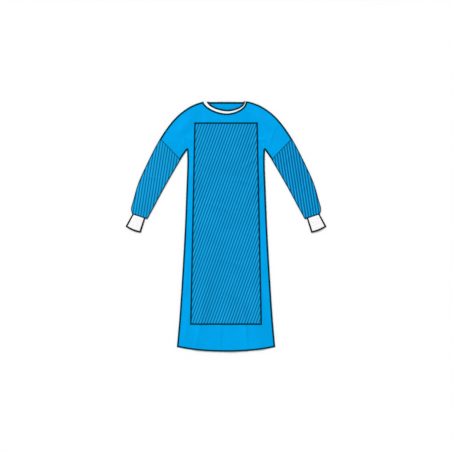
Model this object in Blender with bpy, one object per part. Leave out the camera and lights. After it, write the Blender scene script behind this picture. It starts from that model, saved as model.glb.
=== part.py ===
"""Reinforced surgical gown, laid flat on its back with the front facing up.

+Y runs from the hem to the neck, +X to the wearer's left, +Z up from the surface.
The origin is the centre of the garment's outline, on the surface that it rests on.
Every piece is a wall of cloth. Left and right are the wearer's.
"""

import math

import bmesh
import bpy
import numpy as np

# Cloth, in metres
CLOTH = 0.0012
REINFORCEMENT_CLOTH = 0.0010
BINDING_CLOTH = 0.0010
KNIT = 0.0010
TAPE = 0.0010
GAP = 0.0003

# Body: how wide the flat gown is to each side of its centre line
ARMPIT = (0.2020, 0.4002)
HEM_CORNER = (0.2548, -0.6244)
HEM_LOWEST = -0.6484
HEM_ROUNDNESS = 2.3
SIDE_SEAM = (  # height y, half width x
    (HEM_CORNER[1], HEM_CORNER[0]),
    (-0.4870, 0.2426),
    (-0.2790, 0.2286),
    (0.0330, 0.2115),
    (0.2400, 0.2034),
    (0.3620, 0.2006),
    (ARMPIT[1], ARMPIT[0]),
)

# Shoulder, from the neck to the point above the armpit
SHOULDER = (  # x, y
    (0.1151, 0.6510),
    (0.1643, 0.6349),
)
# Sleeve sections, from the line above the armpit to the cuff
SLEEVE = (  # over-arm x, over-arm y, underarm x, underarm y
    (0.2032, 0.6141, *ARMPIT),
    (0.2556, 0.5723, 0.2181, 0.3780),
    (0.3037, 0.5157, 0.2281, 0.3633),
    (0.3419, 0.4583, 0.2373, 0.3483),
    (0.3868, 0.3752, 0.2696, 0.2937),
    (0.4270, 0.2919, 0.3053, 0.2319),
    (0.4616, 0.2092, 0.3433, 0.1633),
    (0.4849, 0.1260, 0.3808, 0.0930),
    (0.4926, 0.0849, 0.4015, 0.0553),
    (0.4872, 0.0667, 0.4092, 0.0409),
)
SLEEVE_SEAM_SECTION = 3

# Neck: the cut edge of the front and the outer edge of the binding
NECK_TOP = 0.6510
NECK_EDGE = (0.0080, -0.0007, 0.0928, 0.0451, 1.77)  # centre x below and above, half width, depth, roundness
BINDING_EDGE = (0.0028, -0.0082, 0.1102, 0.0632, 1.76)
BACK_NECK_TOP = 0.6481

# Front reinforcement
REINFORCEMENT_TOP = (0.1644, 0.5418)  # half width, y
REINFORCEMENT_BOTTOM = (0.1862, -0.5084)

# Backs: they overlap between these two free edges, the left one inside
FREE_EDGE = 0.1000
STEP_DOWN = 0.0260
LAYER = CLOTH + GAP

# Closing pieces in the overlap of the backs
PATCH_SIZE = (0.0600, 0.0250)
PATCH_Y = 0.6345
TIE_SIZE = (0.0120, 0.4000)
TIE_TOP = 0.1000
TIE_INSET = 0.0040
TIE_MARGIN = 0.0200
RAMP = 0.0300

# How far the upper layer stands off the lower one
LOFT = 0.0024
LOFT_REACH = 0.0450
LOFT_REACH_CUFF = 0.0120
HEM_LOFT_SHARE = 0.4
HEM_LOFT_REACH = 0.0900
FOLD_CLEARANCE = 0.0250
FOLDS = (  # start x, start y, end x, end y, half width, height
    (-0.190, 0.330, -0.115, 0.150, 0.040, 0.0034),
    (0.193, 0.320, 0.098, 0.115, 0.044, 0.0040),
    (-0.095, -0.190, -0.150, -0.700, 0.046, 0.0042),
    (0.015, -0.300, 0.030, -0.700, 0.050, 0.0034),
    (0.118, -0.080, 0.185, -0.700, 0.046, 0.0044),
    (-0.060, 0.500, -0.015, 0.230, 0.052, 0.0020),
    (-0.165, 0.020, 0.010, -0.090, 0.044, 0.0026),
    (-0.150, 0.590, -0.265, 0.470, 0.036, 0.0028),
    (0.140, 0.600, 0.250, 0.500, 0.036, 0.0024),
    (-0.395, 0.290, -0.350, 0.225, 0.030, 0.0026),
    (0.330, 0.370, 0.385, 0.235, 0.030, 0.0028),
    (-0.455, 0.150, -0.405, 0.100, 0.026, 0.0020),
    (0.400, 0.160, 0.450, 0.110, 0.026, 0.0022),
)

# Knitted cuffs
CUFF_BASE = (0.142, 0.985)  # shares of the sleeve's end, from the underarm
CUFF_END_UNDER = (0.4436, -0.0305)
CUFF_END_OVER = (0.5213, 0.0020)
CUFF_BULGE = 0.0050
CUFF_LOFT = 0.0024
CUFF_ROWS = 5
RIBS = 18
RIB_HEIGHT = 0.0005

# Columns and rows of the layout
NECK_COLUMNS = 7
SHOULDER_COLUMNS = 3
SIDE_COLUMNS = 3
HEM_ROWS = 4
SKIRT_ROWS = 28
CHEST_ROWS = 6
YOKE_ROWS = 4
UPPER_SLEEVE_ROWS = 6
LOWER_SLEEVE_ROWS = 14
OUTLINE_STEPS = 24

COLOURS = {  # red, green, blue, roughness
    "gown_cloth": (0.002, 0.352, 0.787, 0.75),
    "striped_cloth": (0.005, 0.262, 0.553, 0.60),
    "white_knit": (0.86, 0.87, 0.88, 0.90),
    "white_binding": (0.86, 0.87, 0.88, 0.85),
    "tie_cloth": (0.002, 0.352, 0.787, 0.80),
    "fastener_tape": (0.72, 0.76, 0.80, 0.95),
}


def ease(share):
    """0 to 1 with a level start and end."""
    share = np.clip(share, 0.0, 1.0)
    return share * share * (3.0 - 2.0 * share)


def mix(a, b, share):
    return np.asarray(a, float) * (1.0 - share) + np.asarray(b, float) * share


def spline(knots, values, at):
    """Natural cubic spline through values, read at one knot position."""
    knots, values = np.asarray(knots, float), np.asarray(values, float)
    steps = np.diff(knots)
    size = len(knots)
    system, right = np.eye(size), np.zeros(values.shape)
    for i in range(1, size - 1):
        system[i, i - 1 : i + 2] = steps[i - 1], 2 * (steps[i - 1] + steps[i]), steps[i]
        rise = (values[i + 1] - values[i]) / steps[i]
        right[i] = 6 * (rise - (values[i] - values[i - 1]) / steps[i - 1])
    bend = np.linalg.solve(system, right)
    i = int(np.clip(np.searchsorted(knots, at) - 1, 0, size - 2))
    a, b, h = knots[i + 1] - at, at - knots[i], steps[i]
    curve = (bend[i] * a**3 + bend[i + 1] * b**3) / (6 * h)
    return curve + (values[i] / h - bend[i] * h / 6) * a + (values[i + 1] / h - bend[i + 1] * h / 6) * b


def curve_point(points, position):
    """Point of a smooth curve through points; position counts points from 0."""
    points = np.asarray(points, float)
    along = np.concatenate([[0.0], np.cumsum(np.linalg.norm(np.diff(points, axis=0), axis=1))])
    return spline(along, points, np.interp(position, range(len(points)), along))


OVER_ARM = [*SHOULDER, *[row[:2] for row in SLEEVE]]
UNDERARM = [row[2:] for row in SLEEVE]


def over_arm(section):
    return curve_point(OVER_ARM, section + len(SHOULDER))


def underarm(section):
    return curve_point(UNDERARM, section)


def side_x(y):
    """Half width of the body: the side seam, and above the armpit the line where a sleeve starts."""
    if y <= ARMPIT[1]:
        heights, widths = zip(*SIDE_SEAM)
        return float(spline(heights, widths, y))
    top_x, top_y = SLEEVE[0][:2]
    return ARMPIT[0] + (top_x - ARMPIT[0]) * (y - ARMPIT[1]) / (top_y - ARMPIT[1])


def reinforcement_x(y):
    (top_x, top_y), (bottom_x, bottom_y) = REINFORCEMENT_TOP, REINFORCEMENT_BOTTOM
    return bottom_x + (top_x - bottom_x) * (y - bottom_y) / (top_y - bottom_y)


def hem_y(x):
    share = min(1.0, abs(x) / HEM_CORNER[0])
    return HEM_LOWEST + (HEM_CORNER[1] - HEM_LOWEST) * share**HEM_ROUNDNESS


def neck_point(edge, share):
    """Point of a neck edge; share runs from -1 at the right shoulder to 1 at the left."""
    low_centre, top_centre, half, depth, roundness = edge
    angle = share * math.pi / 2
    across = abs(math.sin(angle)) ** (2 / roundness)
    down = math.cos(angle) ** (2 / roundness) if abs(share) < 1 else 0.0
    centre = mix(top_centre, low_centre, down)
    return np.array([centre + math.copysign(half * across, share), NECK_TOP - depth * down])


def section_points(section, shares):
    """Points straight across a sleeve, from the underarm to over the arm."""
    return [mix(underarm(section), over_arm(section), share) for share in shares]


def sleeve_axis(section):
    """Direction along the sleeve, square to a section."""
    x, y = over_arm(section) - underarm(section)
    return np.array([y, -x]) / math.hypot(x, y)


def column_count():
    return NECK_COLUMNS + SHOULDER_COLUMNS + SIDE_COLUMNS


def column_x(column, y):
    """x of a column where its rows are level."""
    inner = NECK_COLUMNS + SHOULDER_COLUMNS
    neck_share = SHOULDER[0][0] / REINFORCEMENT_TOP[0]
    number = abs(column)
    if number <= NECK_COLUMNS:
        x = reinforcement_x(y) * neck_share * number / NECK_COLUMNS
    elif number <= inner:
        x = reinforcement_x(y) * (neck_share + (1 - neck_share) * (number - NECK_COLUMNS) / SHOULDER_COLUMNS)
    else:
        x = float(mix(reinforcement_x(y), side_x(y), (number - inner) / SIDE_COLUMNS))
    return math.copysign(x, column)


def yoke_top(column):
    """Where a column ends: at the binding's outer edge, or on the shoulder."""
    number = abs(column)
    if number <= NECK_COLUMNS:
        return neck_point(BINDING_EDGE, column / NECK_COLUMNS)
    share = (number - NECK_COLUMNS) / (column_count() - NECK_COLUMNS)
    x, y = over_arm(-len(SHOULDER) * (1 - share))
    return np.array([math.copysign(x, column), y])


def level_rows():
    """Heights of the level rows, from the reinforcement's lower edge to its upper edge."""
    skirt = np.linspace(REINFORCEMENT_BOTTOM[1], ARMPIT[1], SKIRT_ROWS + 1)
    chest = np.linspace(ARMPIT[1], REINFORCEMENT_TOP[1], CHEST_ROWS + 1)
    return [*skirt, *chest[1:]]


def body_grid():
    """Rows of points over the body front, from the hem up, each from the wearer's right to left."""
    columns = range(-column_count(), column_count() + 1)
    rows = []
    for i in range(HEM_ROWS):
        row = []
        for column in columns:
            bottom_x = column_x(column, HEM_CORNER[1])
            lowest = (bottom_x, hem_y(bottom_x))
            y = float(mix(hem_y(bottom_x), REINFORCEMENT_BOTTOM[1], i / HEM_ROWS))
            x = column_x(column, max(y, HEM_CORNER[1])) if i else lowest[0]
            row.append((x, y))
        rows.append(row)
    rows += [[(column_x(column, y), y) for column in columns] for y in level_rows()]
    top_level = REINFORCEMENT_TOP[1]
    for i in range(1, YOKE_ROWS + 1):
        share = i / YOKE_ROWS
        rows.append([mix((column_x(c, top_level), top_level), yoke_top(c), share) for c in columns])
    return rows


def sleeve_shares():
    """How the points lie across a sleeve: as the body's rows do above the armpit."""
    chest = np.linspace(ARMPIT[1], REINFORCEMENT_TOP[1], CHEST_ROWS + 1)
    yoke = np.linspace(REINFORCEMENT_TOP[1], SLEEVE[0][1], YOKE_ROWS + 1)
    return [(y - ARMPIT[1]) / (SLEEVE[0][1] - ARMPIT[1]) for y in [*chest, *yoke[1:]]]


def upper_sleeve_grid(side):
    """Sections of an upper sleeve; side is 1 for the wearer's left and -1 for the right."""
    rows = []
    for section in np.linspace(0, SLEEVE_SEAM_SECTION, UPPER_SLEEVE_ROWS + 1):
        back = GAP / 2 * sleeve_axis(section) if section == SLEEVE_SEAM_SECTION else 0.0
        rows.append([(side * x, y) for x, y in np.asarray(section_points(section, sleeve_shares())) - back])
    return rows


def neck_rows():
    """The strip of the front that the binding covers: its cut edge, and the binding's outer edge."""
    shares = np.linspace(-1, 1, 2 * NECK_COLUMNS + 1)
    return [[neck_point(edge, share) for share in shares] for edge in (NECK_EDGE, BINDING_EDGE)]


def outline_parts():
    """The seams that run round one half of the gown: side and underarm, and shoulder and over-arm."""
    last = len(SLEEVE) - 1
    heights = np.linspace(HEM_CORNER[1], ARMPIT[1], 2 * OUTLINE_STEPS)
    side = [(side_x(y), y) for y in heights]
    under = [underarm(s) for s in np.linspace(0, last, 2 * OUTLINE_STEPS)]
    over = [over_arm(s) for s in np.linspace(-len(SHOULDER), last, 3 * OUTLINE_STEPS)]
    return np.array([*side, *under]), np.array(over)


OUTLINE = outline_parts()


def seam_distance(x, y):
    """Distance of a point from the nearest seam of the outline."""
    point, nearest = np.array([abs(x), y]), math.inf
    for line in OUTLINE:
        start, step = line[:-1], np.diff(line, axis=0)
        length = np.maximum((step**2).sum(1), 1e-12)
        share = np.clip(((point - start) * step).sum(1) / length, 0, 1)
        away = np.linalg.norm(start + share[:, None] * step - point, axis=1)
        nearest = min(nearest, float(away.min()))
    return nearest


def fold_height(x, y):
    """Height of the soft folds at a point: each is a ridge that tapers to both ends."""
    height = 0.0
    for start_x, start_y, end_x, end_y, half_width, crest in FOLDS:
        line = np.array([end_x - start_x, end_y - start_y])
        place = np.array([x - start_x, y - start_y])
        share = float(np.clip(place @ line / (line @ line), 0, 1))
        away = float(np.linalg.norm(place - share * line)) / half_width
        if away < 1:
            height += crest * (1 - away**2) ** 2 * math.sin(math.pi * share) ** 0.7
    return height


def overlap_share(x):
    """1 where the backs overlap, easing to 0 past their free edges."""
    return float(1 - ease((abs(x) - FREE_EDGE - GAP) / STEP_DOWN))


def band(value, low, high):
    """1 between two limits, easing to 0 within a ramp outside them."""
    return float(ease((value - low + RAMP) / RAMP) * ease((high + RAMP - value) / RAMP))


def closing_room(x, y):
    """How much the inner back is lifted by the ties and by the neck patches under it."""
    tie = (TAPE + GAP) * band(y, TIE_TOP - TIE_SIZE[1] - TIE_MARGIN, TIE_TOP + TIE_MARGIN)
    wide, tall = PATCH_SIZE
    patch = band(x, -wide / 2 - GAP, wide / 2 + GAP) * band(y, PATCH_Y - tall / 2 - GAP, PATCH_Y + tall / 2 + GAP)
    return tie + 2 * (TAPE + GAP) * patch


def inner_back_bottom(x, y):
    return (LAYER + closing_room(x, y)) * overlap_share(x)


def front_bottom(x, y, reach=LOFT_REACH):
    """Underside of the upper layer. It meets the lower layer along the seams."""
    away = seam_distance(x, y)
    to_hem = ease((y - hem_y(x)) / HEM_LOFT_REACH)
    loft = LOFT * float(ease(away / reach)) * (HEM_LOFT_SHARE + (1 - HEM_LOFT_SHARE) * to_hem)
    folds = fold_height(x, y) * float(ease(away / FOLD_CLEARANCE))
    return LAYER + LAYER * overlap_share(x) + loft + folds


def front_top(x, y, reach=LOFT_REACH):
    return front_bottom(x, y, reach) + CLOTH


class Layout:
    """Flat triangles, counter-clockwise from above. Points that two blocks share are one point."""

    def __init__(self, *grids):
        self.points, self.triangles, self.numbers = [], [], {}
        for grid in grids:
            self.add(grid)

    def number(self, point):
        key = (round(float(point[0]), 6), round(float(point[1]), 6))
        if key not in self.numbers:
            self.numbers[key] = len(self.points)
            self.points.append(key)
        return self.numbers[key]

    def add(self, grid):
        for row, above in zip(grid, grid[1:]):
            for i in range(len(row) - 1):
                a, b, c, d = (self.number(p) for p in (row[i], row[i + 1], above[i + 1], above[i]))
                for corners in ((a, b, c), (a, c, d)):
                    if len(set(corners)) == 3:
                        self.triangles.append(self.turned(corners))

    def turned(self, corners):
        (ax, ay), (bx, by), (cx, cy) = (self.points[i] for i in corners)
        area = (bx - ax) * (cy - ay) - (cx - ax) * (by - ay)
        return corners if area > 0 else corners[::-1]

    def rim(self):
        """Edges with one triangle, with the cloth to their left."""
        edges = {(t[i], t[(i + 1) % 3]) for t in self.triangles for i in range(3)}
        return [edge for edge in sorted(edges) if edge[::-1] not in edges]


def new_object(name, points, faces, material):
    mesh = bpy.data.meshes.new(name)
    mesh.from_pydata([tuple(map(float, p)) for p in points], [], faces)
    mesh.materials.append(material)
    mesh.shade_smooth()
    mesh.set_sharp_from_angle(angle=math.radians(40))
    piece = bpy.data.objects.new(name, mesh)
    bpy.context.scene.collection.objects.link(piece)
    return piece


def panel(name, layout, bottom, thickness, material):
    """A wall of cloth over a layout; bottom gives the height of its underside at a point."""
    size = len(layout.points)
    lower = [(x, y, bottom(x, y)) for x, y in layout.points]
    upper = [(x, y, z + thickness) for x, y, z in lower]
    faces = [tuple(reversed(t)) for t in layout.triangles]
    faces += [tuple(i + size for i in t) for t in layout.triangles]
    faces += [(a, b, b + size, a + size) for a, b in layout.rim()]
    return new_object(name, lower + upper, faces, material)


def join_rings(first, second, count):
    """Triangles between two rings of points that start at the given numbers."""
    faces = []
    for i in range(count):
        j = (i + 1) % count
        faces += [(first + i, first + j, second + i), (first + j, second + j, second + i)]
    return faces


def outward(piece):
    """Turns all faces of a closed piece outwards."""
    work = bmesh.new()
    work.from_mesh(piece.data)
    bmesh.ops.recalc_face_normals(work, faces=work.faces)
    work.to_mesh(piece.data)
    work.free()
    return piece


def tube(name, outer, inner, material):
    """A tube of cloth from matching outer and inner rings, open at both ends."""
    count, rings = len(outer[0]), len(outer)
    points = [p for ring in [*outer, *inner] for p in ring]
    faces = []
    for i in range(rings - 1):
        faces += join_rings(i * count, (i + 1) * count, count)
        faces += join_rings((rings + i) * count, (rings + i + 1) * count, count)
    faces += join_rings(0, rings * count, count)
    faces += join_rings((rings - 1) * count, (2 * rings - 1) * count, count)
    return outward(new_object(name, points, faces, material))


def flat_ring(under, over, shares, inset, bottom, middle, top):
    """One ring of a tube that lies flat. Its two edges are rounded by the inset.

    top gives the height of the upper side at a point and a share across."""
    width = float(np.linalg.norm(np.asarray(over) - under))
    edge = inset / width
    upper, lower = [], []
    for share in shares:
        x, y = mix(under, over, min(max(share, edge), 1 - edge))
        lower.append((x, y, bottom))
        upper.append((x, y, top(x, y, share)))
    start = mix(under, over, edge / 3)
    end = mix(under, over, 1 - edge / 3)
    return [*lower, (*end, middle), *reversed(upper), (*start, middle)]


def sleeve(name, side, material):
    """Lower sleeve: a flat tube from the slanting seam to the cuff."""
    last = len(SLEEVE) - 1
    sections = np.linspace(SLEEVE_SEAM_SECTION, last, LOWER_SLEEVE_ROWS + 1)
    outer, inner = [], []
    for section in sections:
        ahead = GAP / 2 * sleeve_axis(section) if section == SLEEVE_SEAM_SECTION else np.zeros(2)
        under, over = underarm(section) + ahead, over_arm(section) + ahead
        share = (section - SLEEVE_SEAM_SECTION) / (last - SLEEVE_SEAM_SECTION)
        reach = float(mix(LOFT_REACH, LOFT_REACH_CUFF, share))
        middle = CLOTH + GAP / 2

        def outside(x, y, _share, reach=reach):
            return front_top(side * x, y, reach)

        def inside(x, y, _share, reach=reach):
            return front_top(side * x, y, reach) - CLOTH

        shares = sleeve_shares()
        outer.append(flat_ring(under, over, shares, CLOTH, 0.0, middle, outside))
        inset = mix(under, over, CLOTH / np.linalg.norm(over - under))
        other = mix(over, under, CLOTH / np.linalg.norm(over - under))
        inner.append(flat_ring(inset, other, shares, CLOTH, CLOTH, middle, inside))
    mirror = np.array([side, 1, 1])
    return tube(name, [np.array(r) * mirror for r in outer], [np.array(r) * mirror for r in inner], material)


def cuff(name, side, material):
    """Knitted cuff: a flat tube that widens to its end, with ribs raised on its upper side."""
    last = len(SLEEVE) - 1
    axis = sleeve_axis(last)
    end_under, end_over = underarm(last), over_arm(last)
    base_under, base_over = (mix(end_under, end_over, share) + GAP * axis for share in CUFF_BASE)
    shares = np.linspace(0, 1, 2 * RIBS + 1)
    edge_height = 2 * KNIT + GAP
    outer, inner = [], []
    for along in np.linspace(0, 1, CUFF_ROWS + 1):
        under = mix(base_under, CUFF_END_UNDER, along)
        over = mix(base_over, CUFF_END_OVER, along)
        bulge = CUFF_BULGE * along * axis

        def dome(share):
            return edge_height + CUFF_LOFT * (1 - (2 * share - 1) ** 2) ** 0.6

        def outside(_x, _y, share):
            rib = RIB_HEIGHT * (round(share * 2 * RIBS) % 2)
            return dome(share) + rib

        def inside(_x, _y, share):
            return dome(share) - KNIT

        middle = KNIT + GAP / 2
        outer_ring = flat_ring(under, over, shares, KNIT, 0.0, middle, outside)
        width = float(np.linalg.norm(over - under))
        inner_under, inner_over = mix(under, over, KNIT / width), mix(over, under, KNIT / width)
        inner_ring = flat_ring(inner_under, inner_over, shares, KNIT, KNIT, middle, inside)
        ring_shares = [*shares, 1.0, *shares[::-1], 0.0]
        for ring, rings in ((outer_ring, outer), (inner_ring, inner)):
            moved = [
                (side * (x + bulge[0] * 4 * s * (1 - s)), y + bulge[1] * 4 * s * (1 - s), z)
                for (x, y, z), s in zip(ring, ring_shares)
            ]
            rings.append(moved)
    return tube(name, outer, inner, material)


def neck_binding(material):
    """Band round the front neckline: it covers the cut edge and lies on the strip beside it."""
    cut_edge, outer_edge = neck_rows()
    rings = []
    for cut, outer in zip(cut_edge, outer_edge):
        inward = (cut - outer) / np.linalg.norm(cut - outer)
        low, high = front_bottom(*cut), front_top(*cut) + GAP
        outer_high = front_top(*outer) + GAP
        near, far = cut + GAP * inward, cut + (GAP + BINDING_CLOTH) * inward
        ring = [
            (*outer, outer_high),
            (*near, high),
            (*near, low),
            (*far, low),
            (*far, high + BINDING_CLOTH),
            (*outer, outer_high + BINDING_CLOTH),
        ]
        rings.append(ring)
    count = len(rings[0])
    points = [p for ring in rings for p in ring]
    faces = [f for i in range(len(rings) - 1) for f in join_rings(i * count, (i + 1) * count, count)]
    last = (len(rings) - 1) * count
    faces += [tuple(range(count)), tuple(last + i for i in reversed(range(count)))]
    return outward(new_object("neck_binding", points, faces, material))


def back_grid(side):
    """Body of a back, from its side seam to its free edge past the centre."""
    seam_columns = 4
    ramp_columns = [FREE_EDGE, *(FREE_EDGE + GAP + STEP_DOWN * share for share in (0.25, 0.5, 0.75, 1))]
    centre = PATCH_SIZE[0] / 2
    middle_columns = [-FREE_EDGE, -centre - RAMP, -centre - RAMP / 2, -centre, centre, centre + RAMP / 2, centre + RAMP]

    def columns(y, top):
        limit = side_x(y) if top is None else top
        inner = [*middle_columns, *ramp_columns]
        outer = [float(mix(ramp_columns[-1], limit, i / seam_columns)) for i in range(1, seam_columns + 1)]
        return [*inner, *outer]

    count = len(columns(0.0, None))
    rows = []
    heights = [REINFORCEMENT_BOTTOM[1], *np.linspace(REINFORCEMENT_BOTTOM[1], ARMPIT[1], SKIRT_ROWS + 1)[1:]]
    bottom = columns(HEM_CORNER[1], None)
    for i in range(HEM_ROWS):
        row = [(x, float(mix(hem_y(x), heights[0], i / HEM_ROWS))) for x in bottom]
        if i:
            row = [(columns(max(y, HEM_CORNER[1]), None)[j], y) for j, (_, y) in enumerate(row)]
        rows.append(row)
    rows += [[(x, y) for x in columns(y, None)] for y in level_rows()]
    top_level = REINFORCEMENT_TOP[1]
    base = columns(top_level, None)
    for i in range(1, YOKE_ROWS + 1):
        share = i / YOKE_ROWS
        row = []
        for j, x in enumerate(base):
            top = back_top(x, j, count, seam_columns)
            row.append(tuple(mix((x, top_level), top, share)))
        rows.append(row)
    return [[(side * x, y) for x, y in row] for row in rows]


def back_top(x, column, count, seam_columns):
    """Upper end of a column of a back: straight across the neck, then along the shoulder."""
    neck_x = SHOULDER[0][0]
    outer_start = count - 1 - seam_columns
    if column < outer_start:
        return (min(x, neck_x), BACK_NECK_TOP) if x < neck_x else (x, shoulder_y(x))
    share = (column - outer_start) / seam_columns
    start_x = x if column == outer_start else None
    if start_x is not None:
        return (x, shoulder_y(x))
    first = FREE_EDGE + GAP + STEP_DOWN
    top_x = float(mix(first, SLEEVE[0][0], share))
    return (top_x, shoulder_y(top_x))


def shoulder_y(x):
    """Height of the shoulder seam at x."""
    low, high = -float(len(SHOULDER)), 0.0
    for _ in range(40):
        middle = (low + high) / 2
        if over_arm(middle)[0] < x:
            low = middle
        else:
            high = middle
    return float(over_arm(low)[1])


def strip(name, centre, size, bottom, thickness, material):
    """A flat rectangle of tape."""
    (x, y), (wide, tall) = centre, size
    layout = Layout([[(x + sx * wide / 2, y + sy * tall / 2) for sx in (-1, 1)] for sy in (-1, 1)])
    return panel(name, layout, lambda _x, _y: bottom, thickness, material)


def new_material(name):
    red, green, blue, roughness = COLOURS[name]
    material = bpy.data.materials.new(name)
    material.use_nodes = True
    shader = material.node_tree.nodes["Principled BSDF"]
    shader.inputs["Base Color"].default_value = (red, green, blue, 1.0)
    shader.inputs["Roughness"].default_value = roughness
    shader.inputs["Metallic"].default_value = 0.0
    return material


def build():
    for old in list(bpy.data.objects):
        bpy.data.objects.remove(old)
    cloth = {name: new_material(name) for name in COLOURS}

    body = body_grid()
    front = Layout(body, neck_rows(), upper_sleeve_grid(1), upper_sleeve_grid(-1))
    panel("front", front, front_bottom, CLOTH, cloth["gown_cloth"])

    margin = SIDE_COLUMNS
    rows = body[HEM_ROWS : HEM_ROWS + len(level_rows())]
    reinforcement = Layout([row[margin : len(row) - margin] for row in rows])
    panel(
        "front_reinforcement",
        reinforcement,
        lambda x, y: front_top(x, y) + GAP,
        REINFORCEMENT_CLOTH,
        cloth["striped_cloth"],
    )
    neck_binding(cloth["white_binding"])

    right = Layout(back_grid(-1), upper_sleeve_grid(-1))
    panel("back_right", right, lambda _x, _y: 0.0, CLOTH, cloth["gown_cloth"])
    left = Layout(back_grid(1), upper_sleeve_grid(1))
    panel("back_left", left, inner_back_bottom, CLOTH, cloth["gown_cloth"])

    for wearer, side in (("left", 1), ("right", -1)):
        sleeve(f"sleeve_{wearer}", side, cloth["striped_cloth"])
        cuff(f"cuff_{wearer}", side, cloth["white_knit"])

    hook_bottom = LAYER + TAPE + GAP
    strip("neck_loop_patch", (0.0, PATCH_Y), PATCH_SIZE, LAYER, TAPE, cloth["fastener_tape"])
    strip("neck_hook_patch", (0.0, PATCH_Y), PATCH_SIZE, hook_bottom, TAPE, cloth["fastener_tape"])
    tie_x = FREE_EDGE - TIE_INSET - TIE_SIZE[0] / 2
    tie_y = TIE_TOP - TIE_SIZE[1] / 2
    strip("tie_outer", (tie_x, tie_y), TIE_SIZE, LAYER, TAPE, cloth["tie_cloth"])
    strip("tie_inner", (-tie_x, tie_y), TIE_SIZE, LAYER, TAPE, cloth["tie_cloth"])


build()
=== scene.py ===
"""Surgical gown, laid flat on its back with the front facing up.

+Y runs from the hem to the neck, +X to the wearer's left, +Z up from the surface.
Left and right are the wearer's. All lengths are in metres.
"""

import math
from functools import partial

import bpy
import numpy as np
from bpy.props import FloatProperty, FloatVectorProperty, PointerProperty
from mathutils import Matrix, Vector, noise


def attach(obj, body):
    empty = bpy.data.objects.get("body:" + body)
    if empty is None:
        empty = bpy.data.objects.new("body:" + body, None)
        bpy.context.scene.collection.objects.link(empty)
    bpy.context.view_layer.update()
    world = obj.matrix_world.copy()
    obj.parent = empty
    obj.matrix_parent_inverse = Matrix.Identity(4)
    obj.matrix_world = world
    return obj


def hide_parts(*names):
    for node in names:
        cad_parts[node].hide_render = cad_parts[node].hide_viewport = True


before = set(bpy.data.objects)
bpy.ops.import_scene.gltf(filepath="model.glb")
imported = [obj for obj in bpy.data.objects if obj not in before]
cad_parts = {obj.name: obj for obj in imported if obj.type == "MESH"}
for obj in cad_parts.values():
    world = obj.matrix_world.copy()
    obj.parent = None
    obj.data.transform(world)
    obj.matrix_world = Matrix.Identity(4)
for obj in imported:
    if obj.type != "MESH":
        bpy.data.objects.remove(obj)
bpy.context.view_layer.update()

bl_info = {
    "name": "Surgical Gown",
    "version": (1, 0, 0),
    "blender": (4, 5, 0),
    "location": "View3D > Sidebar > Gown",
    "description": "Makes a reinforced surgical gown, laid flat, from its pattern pieces",
    "category": "Add Mesh",
}

# Body: half widths of the flat gown, from the hem up
ARMPIT = (0.2020, 0.4002)
HEM_CORNER = (0.2548, -0.6244)
HEM_LOWEST = -0.6484
HEM_ROUNDNESS = 2.3
SIDE_SEAM = (  # height y, half width x
    (HEM_CORNER[1], HEM_CORNER[0]),
    (-0.4870, 0.2426),
    (-0.2790, 0.2286),
    (0.0330, 0.2115),
    (0.2400, 0.2034),
    (0.3620, 0.2006),
    (ARMPIT[1], ARMPIT[0]),
)
SHOULDER = (  # x, y
    (0.1151, 0.6510),
    (0.1643, 0.6349),
)
SLEEVE = (  # over-arm x, over-arm y, underarm x, underarm y
    (0.2032, 0.6141, *ARMPIT),
    (0.2556, 0.5723, 0.2181, 0.3780),
    (0.3037, 0.5157, 0.2281, 0.3633),
    (0.3419, 0.4583, 0.2373, 0.3483),
    (0.3868, 0.3752, 0.2696, 0.2937),
    (0.4270, 0.2919, 0.3053, 0.2319),
    (0.4616, 0.2092, 0.3433, 0.1633),
    (0.4849, 0.1260, 0.3808, 0.0930),
    (0.4926, 0.0849, 0.4015, 0.0553),
    (0.4872, 0.0667, 0.4092, 0.0409),
)
SEAM_SECTION = 3
LAST_SECTION = len(SLEEVE) - 1

# Neck
NECK_TOP = 0.6510
NECK_EDGE = (0.0080, -0.0007, 0.0928, 0.0451, 1.77)  # centre x below and above, half width, depth, roundness
BINDING_EDGE = (0.0028, -0.0082, 0.1102, 0.0632, 1.76)
BACK_NECK_TOP = 0.6481

# Front reinforcement: half width and y of its upper and lower edge
REINFORCEMENT_TOP = (0.1644, 0.5418)
REINFORCEMENT_BOTTOM = (0.1862, -0.5084)

# How the layers lie on each other
WALL = 0.0012
GAP = 0.0003
LAYER = WALL + GAP
FREE_EDGE = 0.1000
STEP_DOWN = 0.0260
TAPE = 0.0010
PATCH_SIZE = (0.0600, 0.0250)
PATCH_Y = 0.6345
TIE_SIZE = (0.0120, 0.4000)
TIE_TOP = 0.1000
TIE_INSET = 0.0040
TIE_MARGIN = 0.0200
RAMP = 0.0300
LOFT = 0.0024
LOFT_REACH = 0.0450
LOFT_REACH_CUFF = 0.0120
HEM_LOFT_SHARE = 0.4
HEM_LOFT_REACH = 0.0900
FOLD_CLEARANCE = 0.0250

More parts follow.
